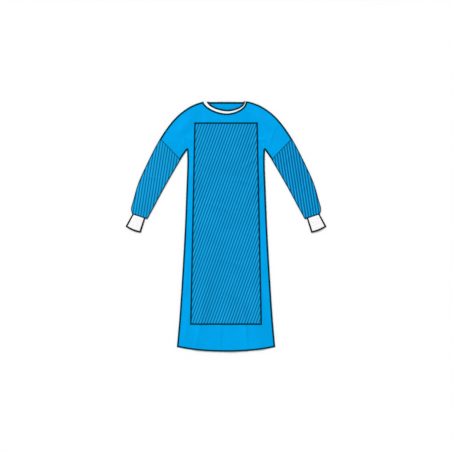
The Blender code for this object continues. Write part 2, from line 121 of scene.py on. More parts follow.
# Broad folds, then the finer creases that run over them
FOLDS = (  # start x, start y, end x, end y, bow, half width, height
    (-0.190, 0.330, -0.115, 0.150, 0.0, 0.040, 0.0034),
    (0.193, 0.320, 0.098, 0.115, 0.0, 0.044, 0.0040),
    (-0.095, -0.190, -0.150, -0.700, 0.0, 0.046, 0.0042),
    (0.015, -0.300, 0.030, -0.700, 0.0, 0.050, 0.0034),
    (0.118, -0.080, 0.185, -0.700, 0.0, 0.046, 0.0044),
    (-0.060, 0.500, -0.015, 0.230, 0.0, 0.052, 0.0020),
    (-0.165, 0.020, 0.010, -0.090, 0.0, 0.044, 0.0026),
    (-0.150, 0.590, -0.265, 0.470, 0.0, 0.036, 0.0028),
    (0.140, 0.600, 0.250, 0.500, 0.0, 0.036, 0.0024),
    (-0.395, 0.290, -0.350, 0.225, 0.0, 0.030, 0.0026),
    (0.330, 0.370, 0.385, 0.235, 0.0, 0.030, 0.0028),
    (-0.455, 0.150, -0.405, 0.100, 0.0, 0.026, 0.0020),
    (0.400, 0.160, 0.450, 0.110, 0.0, 0.026, 0.0022),
)
CREASES = (  # start x, start y, end x, end y, bow, half width, height
    (-0.200, 0.380, -0.070, 0.270, 0.012, 0.015, 0.0020),
    (-0.196, 0.300, -0.120, 0.210, -0.010, 0.012, 0.0014),
    (0.202, 0.376, 0.085, 0.300, -0.010, 0.015, 0.0019),
    (0.198, 0.270, 0.125, 0.150, 0.012, 0.013, 0.0015),
    (-0.225, 0.470, -0.120, 0.395, 0.014, 0.013, 0.0016),
    (0.232, 0.455, 0.105, 0.420, -0.012, 0.014, 0.0017),
    (-0.120, -0.330, -0.165, -0.640, 0.010, 0.014, 0.0019),
    (-0.010, -0.420, -0.030, -0.655, -0.008, 0.012, 0.0016),
    (0.075, -0.350, 0.105, -0.655, 0.010, 0.013, 0.0019),
    (0.180, -0.300, 0.222, -0.600, -0.010, 0.013, 0.0017),
    (-0.205, -0.150, -0.225, -0.420, 0.008, 0.012, 0.0014),
    (-0.120, 0.120, 0.030, 0.060, 0.016, 0.014, 0.0014),
    (0.060, 0.010, 0.190, -0.060, -0.014, 0.014, 0.0016),
    (-0.060, -0.170, 0.090, -0.215, 0.012, 0.013, 0.0012),
    (0.030, 0.470, 0.085, 0.330, 0.010, 0.013, 0.0012),
    (-0.110, 0.575, -0.060, 0.470, -0.010, 0.013, 0.0014),
    (-0.245, 0.520, -0.215, 0.420, 0.008, 0.012, 0.0018),
    (0.262, 0.520, 0.226, 0.415, -0.008, 0.012, 0.0016),
    (-0.345, 0.400, -0.290, 0.340, 0.006, 0.011, 0.0016),
    (-0.415, 0.265, -0.345, 0.255, -0.006, 0.010, 0.0014),
    (0.350, 0.385, 0.300, 0.320, -0.006, 0.011, 0.0014),
    (0.425, 0.235, 0.375, 0.180, 0.006, 0.010, 0.0016),
    (-0.470, 0.135, -0.420, 0.080, 0.004, 0.009, 0.0012),
    (0.470, 0.120, 0.425, 0.070, -0.004, 0.009, 0.0012),
    (-0.180, 0.075, -0.085, 0.010, -0.012, 0.012, 0.0013),
    (0.020, 0.240, 0.150, 0.215, 0.010, 0.013, 0.0012),
    (-0.030, -0.330, 0.050, -0.380, 0.008, 0.011, 0.0011),
    (0.160, 0.575, 0.215, 0.515, 0.006, 0.011, 0.0013),
    (-0.190, -0.440, -0.215, -0.600, -0.006, 0.012, 0.0015),
)
CRUMPLE = (  # waves per metre, height
    (9.0, 0.0016),
    (23.0, 0.0009),
)

# Knitted cuffs
CUFF_BASE = (0.142, 0.985)  # shares of the sleeve's end, from the underarm
CUFF_START = 0.0016
CUFF_EASE = 0.0090
CUFF_END_UNDER = (0.4436, -0.0305)
CUFF_END_OVER = (0.5213, 0.0020)
CUFF_BULGE = 0.0050
CUFF_LOFT = 0.0024
CUFF_RIBS = 18
RIB_HEIGHT = 0.0010
KNIT = 0.0010

# Lower sleeves and cuffs as flat tubes
UNDERSIDE = 0.0001  # height of their underside
SLEEVE_EDGE = 0.0013  # how far their rounded edges reach in
CUFF_EDGE = 0.0011

# Sewing
TAPE_WALL = 0.00045
TAPE_LIFT = 0.00008  # how far a tape stands off the cloth under it
TAPE_OFFSET = 0.0002  # how far a turned tape stands off the cloth's edge
TAPE_BOTTOM = 0.00015  # height of a turned tape's lower end
FLAT_TAPE = (  # share of the width, share of the thickness: over the tape and back under it
    (0.0, 0.2),
    (0.08, 0.9),
    (0.3, 1.35),
    (0.7, 1.35),
    (0.92, 0.9),
    (1.0, 0.2),
    (0.5, 0.15),
)
TURNED_TAPE = (
    (-0.02, 1.0),
    (0.3, 1.5),
    (0.7, 1.45),
    (0.95, 0.8),
    (1.0, 0.2),
    (0.5, 0.12),
)
BAND_INSET = 0.05  # share of the neck band's width that its outer seam takes in
BAND_TURN = 0.0026  # the neck band's way round the cut edge
BAND_WALL = 0.0007
BAND_PUFF = 0.0005  # how far its middle stands up
BAND_EDGE_PUFF = 0.0004
BAND_STITCHES = 0.10  # share of its width at which its stitches run
OVER_TAPE = 0.0003  # how far the outer seams' tapes stand over the tapes that they cross
OVER_RIBS = 0.0004  # how far the cuffs' bindings stand over the pressed ribs
TAPE_CHANGE = 0.0060  # stretch in which the outer seams' tapes narrow to the lower sleeves'
STITCH_LIFT = 0.0008

# Tints of gloss and sheen
WHITE = (1.0, 1.0, 1.0)
BLUE_SHEEN = (0.02, 0.60, 1.0)

# Stage
PICTURE = (452, 0.0052)  # pixels across, metres to a pixel on the surface
CAMERA_Y = 0.0042
FLOOR_SIZE = 14.0
FLOOR_HEIGHT = -0.0002
SKY_STRENGTH = 0.67
SUN_STRENGTH = 1.89
SUN_WIDTH = math.radians(24)
SUN_TURN = (math.radians(-38), math.radians(-34), 0.0)

# Layout of the cloth: columns and rows between its main lines
NECK_COLUMNS = 21
SHOULDER_COLUMNS = 9
SIDE_COLUMNS = 9
HEM_ROWS = 16
SKIRT_ROWS = 150
CHEST_ROWS = 26
YOKE_ROWS = 18
NECK_STRIP_ROWS = 4
UPPER_SLEEVE_ROWS = 32
LOWER_SLEEVE_ROWS = 84


def ease(share):
    """0 to 1 with a level start and end."""
    share = np.clip(share, 0.0, 1.0)
    return share * share * (3.0 - 2.0 * share)


def mix(a, b, share):
    share = np.asarray(share, float)
    share = share[..., None] if share.ndim and np.ndim(a) else share
    return np.asarray(a, float) * (1.0 - share) + np.asarray(b, float) * share


def spline(knots, values, at):
    """Natural cubic spline through values, read at an array of knot positions."""
    knots, values = np.asarray(knots, float), np.asarray(values, float)
    at = np.atleast_1d(np.asarray(at, float))
    steps, size = np.diff(knots), len(knots)
    system, right = np.eye(size), np.zeros(values.shape)
    for i in range(1, size - 1):
        system[i, i - 1 : i + 2] = steps[i - 1], 2 * (steps[i - 1] + steps[i]), steps[i]
        rise = (values[i + 1] - values[i]) / steps[i]
        right[i] = 6 * (rise - (values[i] - values[i - 1]) / steps[i - 1])
    bend = np.linalg.solve(system, right)
    i = np.clip(np.searchsorted(knots, at) - 1, 0, size - 2)
    shape = (-1,) + (1,) * (values.ndim - 1)
    a, b, h = ((part.reshape(shape)) for part in (knots[i + 1] - at, at - knots[i], steps[i]))
    curve = (bend[i] * a**3 + bend[i + 1] * b**3) / (6 * h)
    return curve + (values[i] / h - bend[i] * h / 6) * a + (values[i + 1] / h - bend[i + 1] * h / 6) * b


def totals(steps):
    """Running totals, from 0."""
    return np.concatenate([[0.0], np.cumsum(steps)])


def distances(line):
    """How far along a polyline each of its points is."""
    return totals(np.linalg.norm(np.diff(line, axis=0), axis=1))


def curve_points(points, positions):
    """Points of a smooth curve through points; a position counts points from 0."""
    points = np.asarray(points, float)
    along = distances(points)
    return spline(along, points, np.interp(positions, range(len(points)), along))


OVER_ARM = [*SHOULDER, *[row[:2] for row in SLEEVE]]
UNDERARM = [row[2:] for row in SLEEVE]


def over_arm(section):
    return curve_points(OVER_ARM, np.asarray(section, float) + len(SHOULDER))


def underarm(section):
    return curve_points(UNDERARM, section)


def side_x(y):
    """Half width of the body, and above the armpit the line where a sleeve starts."""
    y = np.asarray(y, float)
    heights, widths = zip(*SIDE_SEAM)
    top_x, top_y = SLEEVE[0][:2]
    above = ARMPIT[0] + (top_x - ARMPIT[0]) * (y - ARMPIT[1]) / (top_y - ARMPIT[1])
    below = spline(heights, widths, np.minimum(y, ARMPIT[1])).reshape(y.shape)
    return np.where(y <= ARMPIT[1], below, above)


def reinforcement_x(y):
    (top_x, top_y), (bottom_x, bottom_y) = REINFORCEMENT_TOP, REINFORCEMENT_BOTTOM
    return bottom_x + (top_x - bottom_x) * (y - bottom_y) / (top_y - bottom_y)


def hem_y(x):
    share = np.minimum(1.0, np.abs(x) / HEM_CORNER[0])
    return HEM_LOWEST + (HEM_CORNER[1] - HEM_LOWEST) * share**HEM_ROUNDNESS


def neck_points(edge, shares):
    """Points of a neck edge; shares run from -1 at the right shoulder to 1 at the left."""
    low_centre, top_centre, half, depth, roundness = edge
    angles = np.clip(np.asarray(shares, float), -1, 1) * math.pi / 2
    across = np.sign(angles) * np.abs(np.sin(angles)) ** (2 / roundness)
    down = np.maximum(np.cos(angles), 0.0) ** (2 / roundness)
    down[np.abs(shares) >= 1] = 0.0
    centre = top_centre + (low_centre - top_centre) * down
    return np.stack([centre + half * across, NECK_TOP - depth * down], axis=1)


def half_columns(y):
    """x of the columns of one half of the body at a height, from the centre out."""
    edge = reinforcement_x(y)
    neck_x = edge * SHOULDER[0][0] / REINFORCEMENT_TOP[0]
    neck = np.linspace(0, neck_x, NECK_COLUMNS + 1)
    shoulder = np.linspace(neck_x, edge, SHOULDER_COLUMNS + 1)[1:]
    side = np.linspace(edge, float(side_x(y)), SIDE_COLUMNS + 1)[1:]
    return np.concatenate([neck, shoulder, side])


def mirrored(half):
    return np.concatenate([-half[:0:-1], half])


def with_height(xs, y):
    return np.stack([xs, np.broadcast_to(y, np.shape(xs))], axis=1)


def yoke_top():
    """Upper ends of the body's columns: on the binding's outer edge, then on the shoulder."""
    neck = neck_points(BINDING_EDGE, np.linspace(-1, 1, 2 * NECK_COLUMNS + 1))
    count = SHOULDER_COLUMNS + SIDE_COLUMNS
    shoulder = over_arm(-len(SHOULDER) * (1 - np.arange(1, count + 1) / count))
    return np.concatenate([shoulder[::-1] * (-1, 1), neck, shoulder])


def level_heights():
    skirt = np.linspace(REINFORCEMENT_BOTTOM[1], ARMPIT[1], SKIRT_ROWS + 1)
    chest = np.linspace(ARMPIT[1], REINFORCEMENT_TOP[1], CHEST_ROWS + 1)
    return np.concatenate([skirt, chest[1:]])


def body_rows(columns, top):
    """Rows of points from the hem up to the top row; columns gives a row's x at a height."""
    rows = []
    bottom = columns(HEM_CORNER[1])
    for i in range(HEM_ROWS):
        ys = mix(hem_y(bottom), REINFORCEMENT_BOTTOM[1], i / HEM_ROWS)
        xs = [columns(max(y, HEM_CORNER[1]))[j] for j, y in enumerate(ys)] if i else bottom
        rows.append(np.stack([xs, ys], axis=1))
    rows += [with_height(columns(y), y) for y in level_heights()]
    base = rows[-1]
    return rows + [mix(base, top, i / YOKE_ROWS) for i in range(1, YOKE_ROWS + 1)]


def body_grid():
    """Rows of points over the body front."""
    return body_rows(lambda y: mirrored(half_columns(y)), yoke_top())


def sleeve_shares():
    """How points lie across a sleeve: as the body's rows do above the armpit."""
    chest = np.linspace(ARMPIT[1], REINFORCEMENT_TOP[1], CHEST_ROWS + 1)
    yoke = np.linspace(REINFORCEMENT_TOP[1], SLEEVE[0][1], YOKE_ROWS + 1)
    return (np.concatenate([chest, yoke[1:]]) - ARMPIT[1]) / (SLEEVE[0][1] - ARMPIT[1])


def sleeve_axis(section):
    """Direction along the sleeve, square to a section."""
    x, y = (over_arm([section]) - underarm([section]))[0]
    return np.array([y, -x]) / math.hypot(x, y)


def upper_sleeve_grid(side):
    rows = []
    for section in np.linspace(0, SEAM_SECTION, UPPER_SLEEVE_ROWS + 1):
        ends = underarm([section])[0], over_arm([section])[0]
        row = np.array([mix(*ends, share) for share in sleeve_shares()])
        if section == SEAM_SECTION:
            row = row - GAP / 2 * sleeve_axis(section)
        rows.append(row * (side, 1))
    return rows


def neck_rows():
    """The strip of the front under the binding, from its cut edge out."""
    shares = np.linspace(-1, 1, 2 * NECK_COLUMNS + 1)
    cut, outer = (neck_points(edge, shares) for edge in (NECK_EDGE, BINDING_EDGE))
    return [mix(cut, outer, i / NECK_STRIP_ROWS) for i in range(NECK_STRIP_ROWS + 1)]


def seam_lines():
    """The seams round one half of the gown: side and underarm, and shoulder and over-arm."""
    heights = np.linspace(HEM_CORNER[1], ARMPIT[1], 48)
    side = with_height(side_x(heights), heights)
    under = underarm(np.linspace(0, LAST_SECTION, 48))
    over = over_arm(np.linspace(-len(SHOULDER), LAST_SECTION, 72))
    return np.concatenate([side, under[1:]]), over


def line_distance(points, line):
    """Distance of each point from a polyline, and how far along it the nearest place is, 0 to 1."""
    start, step = line[:-1], np.diff(line, axis=0)
    length = np.maximum((step**2).sum(1), 1e-12)
    nearest = np.full(len(points), np.inf)
    along = np.zeros(len(points))
    for i, (a, d, size) in enumerate(zip(start, step, length)):
        share = np.clip(((points - a) @ d) / size, 0, 1)
        away = np.hypot(*(points - a - share[:, None] * d).T)
        closer = away < nearest
        nearest[closer] = away[closer]
        along[closer] = (i + share[closer]) / len(step)
    return nearest, along


SEAM_LINES = seam_lines()


def folded(points):
    """Points brought to the gown's left half."""
    return with_height(np.abs(points[:, 0]), points[:, 1])


def seam_distance(points):
    return np.minimum(*(line_distance(folded(points), line)[0] for line in SEAM_LINES))


def ridges(points, table):
    """Height of soft ridges that taper to both ends, each bowed to one side."""
    height = np.zeros(len(points))
    for start_x, start_y, end_x, end_y, bow, half_width, crest in table:
        start, end = np.array([start_x, start_y]), np.array([end_x, end_y])
        across = np.array([start_y - end_y, end_x - start_x]) / np.linalg.norm(end - start)
        shares = np.linspace(0, 1, 9 if bow else 2)
        line = mix(start, end, shares) + across * (bow * 4 * shares * (1 - shares))[:, None]
        reach = half_width + abs(bow)
        low, high = np.minimum(start, end) - reach, np.maximum(start, end) + reach
        near = ((points > low) & (points < high)).all(1)
        away, along = line_distance(points[near], line)
        profile = np.maximum(1 - (away / half_width) ** 2, 0) ** 2
        height[near] += crest * profile * np.sin(math.pi * along) ** 0.7
    return height


def crumple(points):
    """Slow uneven waves of cloth that was folded and spread out again."""
    height = np.zeros(len(points))
    for waves, size in CRUMPLE:
        height += [size * noise.noise(Vector((x * waves, y * waves, waves))) for x, y in points]
    return height


def overlap_share(xs):
    """1 where the backs overlap, easing to 0 past their free edges."""
    return 1 - ease((np.abs(xs) - FREE_EDGE - GAP) / STEP_DOWN)


def band(values, low, high):
    """1 between two limits, easing to 0 within a ramp outside them."""
    return ease((values - low + RAMP) / RAMP) * ease((high + RAMP - values) / RAMP)


def closing_room(xs, ys):
    """How much the inner back is lifted by the ties and by the neck patches under it."""
    tie = (TAPE + GAP) * band(ys, TIE_TOP - TIE_SIZE[1] - TIE_MARGIN, TIE_TOP + TIE_MARGIN)
    wide, tall = PATCH_SIZE[0] / 2 + GAP, PATCH_SIZE[1] / 2 + GAP
    patch = band(xs, -wide, wide) * band(ys, PATCH_Y - tall, PATCH_Y + tall)
    return tie + 2 * (TAPE + GAP) * patch


def inner_back_top(points):
    """Upper side of the inner back."""
    xs, ys = points.T
    return (LAYER + closing_room(xs, ys)) * overlap_share(xs) + WALL


def front_top(points, reach=LOFT_REACH):
    """Upper side of the front and of the sleeves, with all folds and creases."""
    points = np.asarray(points, float)
    xs, ys = points.T
    away = seam_distance(points)
    to_hem = ease((ys - hem_y(xs)) / HEM_LOFT_REACH)
    loft = LOFT * ease(away / reach) * (HEM_LOFT_SHARE + (1 - HEM_LOFT_SHARE) * to_hem)
    sizes = bpy.context.scene.gown_cloth
    wrinkles = sizes.folds * ridges(points, FOLDS) + sizes.creases * ridges(points, CREASES)
    wrinkles = (wrinkles + crumple(points) * to_hem) * ease(away / FOLD_CLEARANCE)
    return LAYER + LAYER * overlap_share(xs) + loft + np.maximum(wrinkles, -0.6 * loft) + WALL


class Layout:
    """Flat faces, counter-clockwise from above. Points that two blocks share are one point."""

    def __init__(self, *grids):
        self.points, self.faces, self.numbers = [], [], {}
        for grid in grids:
            self.add(grid)
        self.flat = np.array(self.points)

    def number(self, point):
        key = (round(float(point[0]), 6), round(float(point[1]), 6))
        if key not in self.numbers:
            self.numbers[key] = len(self.points)
            self.points.append(key)
        return self.numbers[key]

    def add(self, grid):
        numbers = [[self.number(p) for p in row] for row in grid]
        for row, above in zip(numbers, numbers[1:]):
            for i in range(len(row) - 1):
                corners = list(dict.fromkeys((row[i], row[i + 1], above[i + 1], above[i])))
                if len(corners) > 2:
                    self.faces.append(corners if self.face_area(corners) > 0 else corners[::-1])

    def face_area(self, corners):
        places = [self.points[i] for i in corners]
        pairs = zip(places, [*places[1:], places[0]])
        return sum(a[0] * b[1] - b[0] * a[1] for a, b in pairs) / 2

    def cut(self):
        """Width and length of the cut piece, and its area."""
        size = self.flat.max(0) - self.flat.min(0)
        area = sum(self.face_area(face) for face in self.faces)
        return {"flat": tuple(map(float, size)), "area": area}

    def rim(self):
        """Edges with one face, with the cloth to their left."""
        edges = {(face[i - 1], face[i]) for face in self.faces for i in range(len(face))}
        return [edge for edge in sorted(edges) if edge[::-1] not in edges]


def placed(name, data):
    """A new object in the scene, with the given data."""
    made = bpy.data.objects.new(name, data)
    bpy.context.scene.collection.objects.link(made)
    return made


def new_piece(name, points, faces, material, uvs=None):
    """A finished piece that stands on the gown's own body."""
    mesh = bpy.data.meshes.new(name)
    mesh.from_pydata(np.asarray(points, float).tolist(), [], faces)
    mesh.materials.append(material)
    if uvs is not None:
        layer = mesh.uv_layers.new(name="pattern")
        layer.data.foreach_set("uv", np.asarray(uvs, np.float32).ravel())
    mesh.shade_smooth()
    mesh.set_sharp_from_angle(angle=math.radians(50))
    piece = placed(name, mesh)
    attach(piece, "root")
    return piece


def cloth_panel(name, layout, top, thickness, material):
    """A thin wall of cloth over a layout; top is the height of its upper side at each point."""
    size = len(layout.points)
    points = np.concatenate([np.column_stack([layout.flat, z]) for z in (top - thickness, top)])
    faces = [face[::-1] for face in layout.faces]
    faces += [[i + size for i in face] for face in layout.faces]
    faces += [(a, b, b + size, a + size) for a, b in layout.rim()]
    return new_piece(name, points, faces, material)


def signed_volume(points, faces):
    total = 0.0
    for face in faces:
        a = points[face[0]]
        for j in range(1, len(face) - 1):
            total += float(np.dot(a, np.cross(points[face[j]], points[face[j + 1]])))
    return total / 6


def sweep(name, rings, material, closed=False, measured=None):
    """A solid through rings of points, with flat ends or, when closed, back to its first ring.

    UVs run along it and round it, in metres; measured is how many rings the way round is taken from."""
    rings = np.asarray(rings, float)
    stations, count = rings.shape[:2]
    path = np.concatenate([rings, rings[:1]]) if closed else rings
    along = totals(np.linalg.norm(np.diff(path, axis=0), axis=2).mean(1))
    edges = np.diff(rings[:measured], axis=1, append=rings[:measured, :1])
    around = totals(np.linalg.norm(edges, axis=2).mean(0))
    faces, uvs = [], []
    for i in range(len(path) - 1):
        here, ahead = i * count, (i + 1) % stations * count
        for j in range(count):
            k = (j + 1) % count
            faces.append((here + j, here + k, ahead + k, ahead + j))
            low, high = around[j], around[j + 1]
            uvs += [(along[i], low), (along[i], high), (along[i + 1], high), (along[i + 1], low)]
    if not closed:
        last = (stations - 1) * count
        faces += [tuple(reversed(range(count))), tuple(range(last, last + count))]
        uvs += [(along[0], around[j]) for j in reversed(range(count))]
        uvs += [(along[-1], around[j]) for j in range(count)]
    points = rings.reshape(-1, 3)
    if signed_volume(points, faces) < 0:
        faces = [face[::-1] for face in faces]
        ends = np.cumsum([len(face) for face in faces])
        uvs = [uv for face, end in zip(faces, ends) for uv in reversed(uvs[end - len(face) : end])]
    return new_piece(name, points, faces, material, uvs)


def tube_piece(name, outer, inner, material):
    """A tube of cloth from matching outer and inner rings, open at both ends."""
    return sweep(name, [*outer, *inner[::-1]], material, closed=True, measured=len(outer))


def evenly(line, step):
    """A polyline read again at even steps, with its corners kept."""
    line = np.asarray(line, float)
    turns = [0]
    for i in range(1, len(line) - 1):
        a, b = line[i] - line[i - 1], line[i + 1] - line[i]
        if (a @ b) < math.cos(math.radians(20)) * np.linalg.norm(a) * np.linalg.norm(b):
            turns.append(i)
    turns.append(len(line) - 1)
    along = distances(line)
    out = []
    for a, b in zip(turns, turns[1:]):
        count = max(1, round((along[b] - along[a]) / step))
        at = np.linspace(along[a], along[b], count + 1)[:-1]
        out.append(np.column_stack([np.interp(at, along, line[:, axis]) for axis in (0, 1)]))
    return np.concatenate([*out, line[-1:]])


def rounded(line, radius):
    """A polyline with each sharp corner cut to a short arc."""
    out = [line[0]]
    for before, corner, after in zip(line, line[1:], line[2:]):
        a, b = before - corner, after - corner
        size_a, size_b = np.linalg.norm(a), np.linalg.norm(b)
        if (a @ b) / (size_a * size_b) > -math.cos(math.radians(40)):
            cut_a = corner + a / size_a * min(radius, size_a / 2)
            cut_b = corner + b / size_b * min(radius, size_b / 2)
            for share in np.linspace(0, 1, 7):
                out.append(mix(mix(cut_a, corner, share), mix(corner, cut_b, share), share))
        else:
            out.append(corner)
    return np.array([*out, line[-1]])


def inward_normals(line, side, closed=False):
    """Unit normals towards the cloth, stretched at corners so that an offset keeps its distance."""
    step = np.diff(line, axis=0, append=line[:1]) if closed else np.diff(line, axis=0)
    before = np.roll(step, 1, axis=0) if closed else np.concatenate([step[:1], step])
    after = step if closed else np.concatenate([step, step[-1:]])
    normals = []
    for a, b in zip(before, after):
        a, b = a / np.linalg.norm(a), b / np.linalg.norm(b)
        normal = np.array([-(a + b)[1], (a + b)[0]]) * side
        normal = normal / np.linalg.norm(normal)
        square = np.array([-a[1], a[0]]) * side
        normals.append(normal / max(0.6, normal @ square))
    return np.array(normals)


def flat_place(points):
    return points


def tape(name, line, side, width, top, material, wall=None, place=flat_place, lift=0.0, closed=False):
    """A narrow tape along an edge, laid on the cloth and, with a wall, turned down over its edge.

    top gives the cloth's height at flat points, wall the height that the turned edge reaches down to.
    lift raises it over a tape that it crosses."""
    normals = inward_normals(line, side, closed)
    width = np.reshape(width, (-1, 1))
    columns = []
    for share, stand in FLAT_TAPE if wall is None else TURNED_TAPE:
        flat = line + normals * (share * width)
        columns.append(np.column_stack([place(flat), top(flat) + lift + TAPE_LIFT + stand * TAPE_WALL]))
    if wall is not None:
        edge_top, down = top(line) + lift, wall(line)
        for offset, height in (
            (TAPE_OFFSET, edge_top + TAPE_LIFT),
            (TAPE_OFFSET, down),
            (TAPE_OFFSET + TAPE_WALL, down),
            (TAPE_OFFSET + TAPE_WALL, edge_top + 0.55 * TAPE_WALL),
        ):
            columns.append(np.column_stack([place(line - normals * offset), height]))
    return sweep(name, np.stack(columns, axis=1), material, closed)


def to_the_floor(line):
    return np.full(len(line), TAPE_BOTTOM)


def to_the_front(line):
    return front_top(line) - WALL


def raised(line, top, lift):
    """Flat points set on a surface, lifted a little."""
    return np.column_stack([line, top(line) + lift])


def shifted(line, side, distance):
    """A line moved sideways, towards the cloth."""
    return line + inward_normals(line, side) * np.reshape(distance, (-1, 1))


def side_and_underarm(side):
    """The seam from the hem up to the armpit and down the sleeve; side is 1 on the left, -1 on the right."""
    return rounded(evenly(SEAM_LINES[0], 0.005), 0.0012) * (side, 1)


def shoulder_and_over_arm(side):
    """The seam from the neck band over the shoulder and down the sleeve."""
    start = np.abs(neck_points(BINDING_EDGE, np.array([side])))
    beyond = SEAM_LINES[1][SEAM_LINES[1][:, 0] > start[0, 0] + 0.004]
    return evenly(np.concatenate([start, beyond]), 0.005) * (side, 1)


def across_sleeve(section, step):
    """A line over the left sleeve, from the underarm to the over-arm."""
    return evenly([underarm([section])[0], over_arm([section])[0]], step)


def border_line(inset=0.0):
    """The reinforcement's outline, moved in; it ends where it starts."""
    (top_x, top_y), (bottom_x, bottom_y) = REINFORCEMENT_TOP, REINFORCEMENT_BOTTOM
    bottom, top = (bottom_x - inset, bottom_y + inset), (top_x - inset, top_y - inset)
    start = (-bottom[0], bottom[1])
    return evenly([start, bottom, top, (-top[0], top[1]), start], 0.006)


def binding_lines():
    """Cut edge and outer edge of the neck band, from the right shoulder to the left."""
    shares = np.linspace(-1, 1, 121)
    cut, outer = (neck_points(edge, shares) for edge in (NECK_EDGE, BINDING_EDGE))
    return cut, mix(outer, cut, BAND_INSET)


def on_lower_sleeve(line):
    """0 on the body and the upper sleeves, easing to 1 past the slanting seam."""
    line = folded(line)
    past_seam = (line - underarm([SEAM_SECTION])[0]) @ sleeve_axis(SEAM_SECTION)
    by_the_body = line[:, 0] < side_x(line[:, 1]) + TAPE_CHANGE
    return ease(np.where(by_the_body, 0.0, past_seam / TAPE_CHANGE))


def seam_width(line):
    """Width of the outer seams' tape at each point of a path."""
    sewing = bpy.context.scene.gown_sewing
    return mix(sewing.seam_tape, sewing.lower_tape, on_lower_sleeve(line))


class Cuff:
    """Flat tube of ribbed knit; across runs from the underarm edge, along from the sleeve, both in metres."""

    def __init__(self, side):
        self.side = side
        self.axis = sleeve_axis(LAST_SECTION)
        under, over = underarm([LAST_SECTION])[0], over_arm([LAST_SECTION])[0]
        self.base = [mix(under, over, share) + CUFF_START * self.axis for share in CUFF_BASE]
        ends = np.array([CUFF_END_UNDER, CUFF_END_OVER])
        self.width = (np.linalg.norm(self.base[1] - self.base[0]) + np.linalg.norm(ends[1] - ends[0])) / 2
        self.length = float(np.linalg.norm(ends.mean(0) - np.mean(self.base, axis=0)))

    def place(self, flat):
        """Flat points of the cuff, across and along, as places on the surface."""
        across, along = flat[:, 0] / self.width, flat[:, 1] / self.length
        under = mix(self.base[0], CUFF_END_UNDER, along)
        over = mix(self.base[1], CUFF_END_OVER, along)
        inside = np.clip(across, 0, 1)
        bulge = (CUFF_BULGE * along * 4 * inside * (1 - inside))[:, None] * self.axis
        return (mix(under, over, across) + bulge) * (self.side, 1)

    def fullness(self, along):
        """0 where the sleeve's tape holds the cuff down, easing to 1."""
        return ease(np.asarray(along, float) / CUFF_EASE)

    def dome(self, across, along):
        middle = 1 - (2 * np.clip(across, 0, 1) - 1) ** 2
        return 2 * KNIT + GAP + CUFF_LOFT * np.clip(middle, 0, 1) ** 0.6 * (0.6 + 0.4 * self.fullness(along))

    def binding_base(self, flat):
        """Height that the binding lies on."""
        return self.dome(flat[:, 0] / self.width, flat[:, 1]) + OVER_RIBS


def flat_tube_ring(place, shares, half_round, inset, top):
    """One ring of a flat tube: along its underside, up round one edge, back over the top, down the other.

    place gives x and y at shares across, half_round the share taken by a rounded edge."""
    bottom = UNDERSIDE + inset
    inner = half_round + shares * (1 - 2 * half_round)
    angles = np.linspace(-math.pi / 2, math.pi / 2, 7)[1:-1]

    def edge(start, reach, height, turn):
        heights = bottom + (height - bottom) * (np.sin(turn) + 1) / 2
        return np.column_stack([place(start + reach * np.cos(turn)), heights])

    lower = np.column_stack([place(inner), np.full(len(inner), bottom)])
    upper = np.column_stack([place(inner), top(inner)])
    far = edge(1 - half_round, half_round, upper[-1, 2], angles)
    near = edge(half_round, -half_round, upper[0, 2], angles[::-1])
    return np.concatenate([lower, far, upper[::-1], near])


# Materials


def feed(tree, value, socket):
    """Link a socket to an output, or set it to a value."""
    if isinstance(value, bpy.types.NodeSocket):
        tree.links.new(value, socket)
    else:
        socket.default_value = value


def add_node(tree, kind, feeds=None, **settings):
    """A new node with its settings made and its inputs fed; returns its outputs."""
    node = tree.nodes.new(kind)
    for key, value in settings.items():
        setattr(node, key, value)
    for key, value in (feeds or {}).items():
        feed(tree, value, node.inputs[key])
    return node.outputs


def shade(colour, factor=1.0):
    return (*(min(1.0, part * factor) for part in colour[:3]), 1.0)


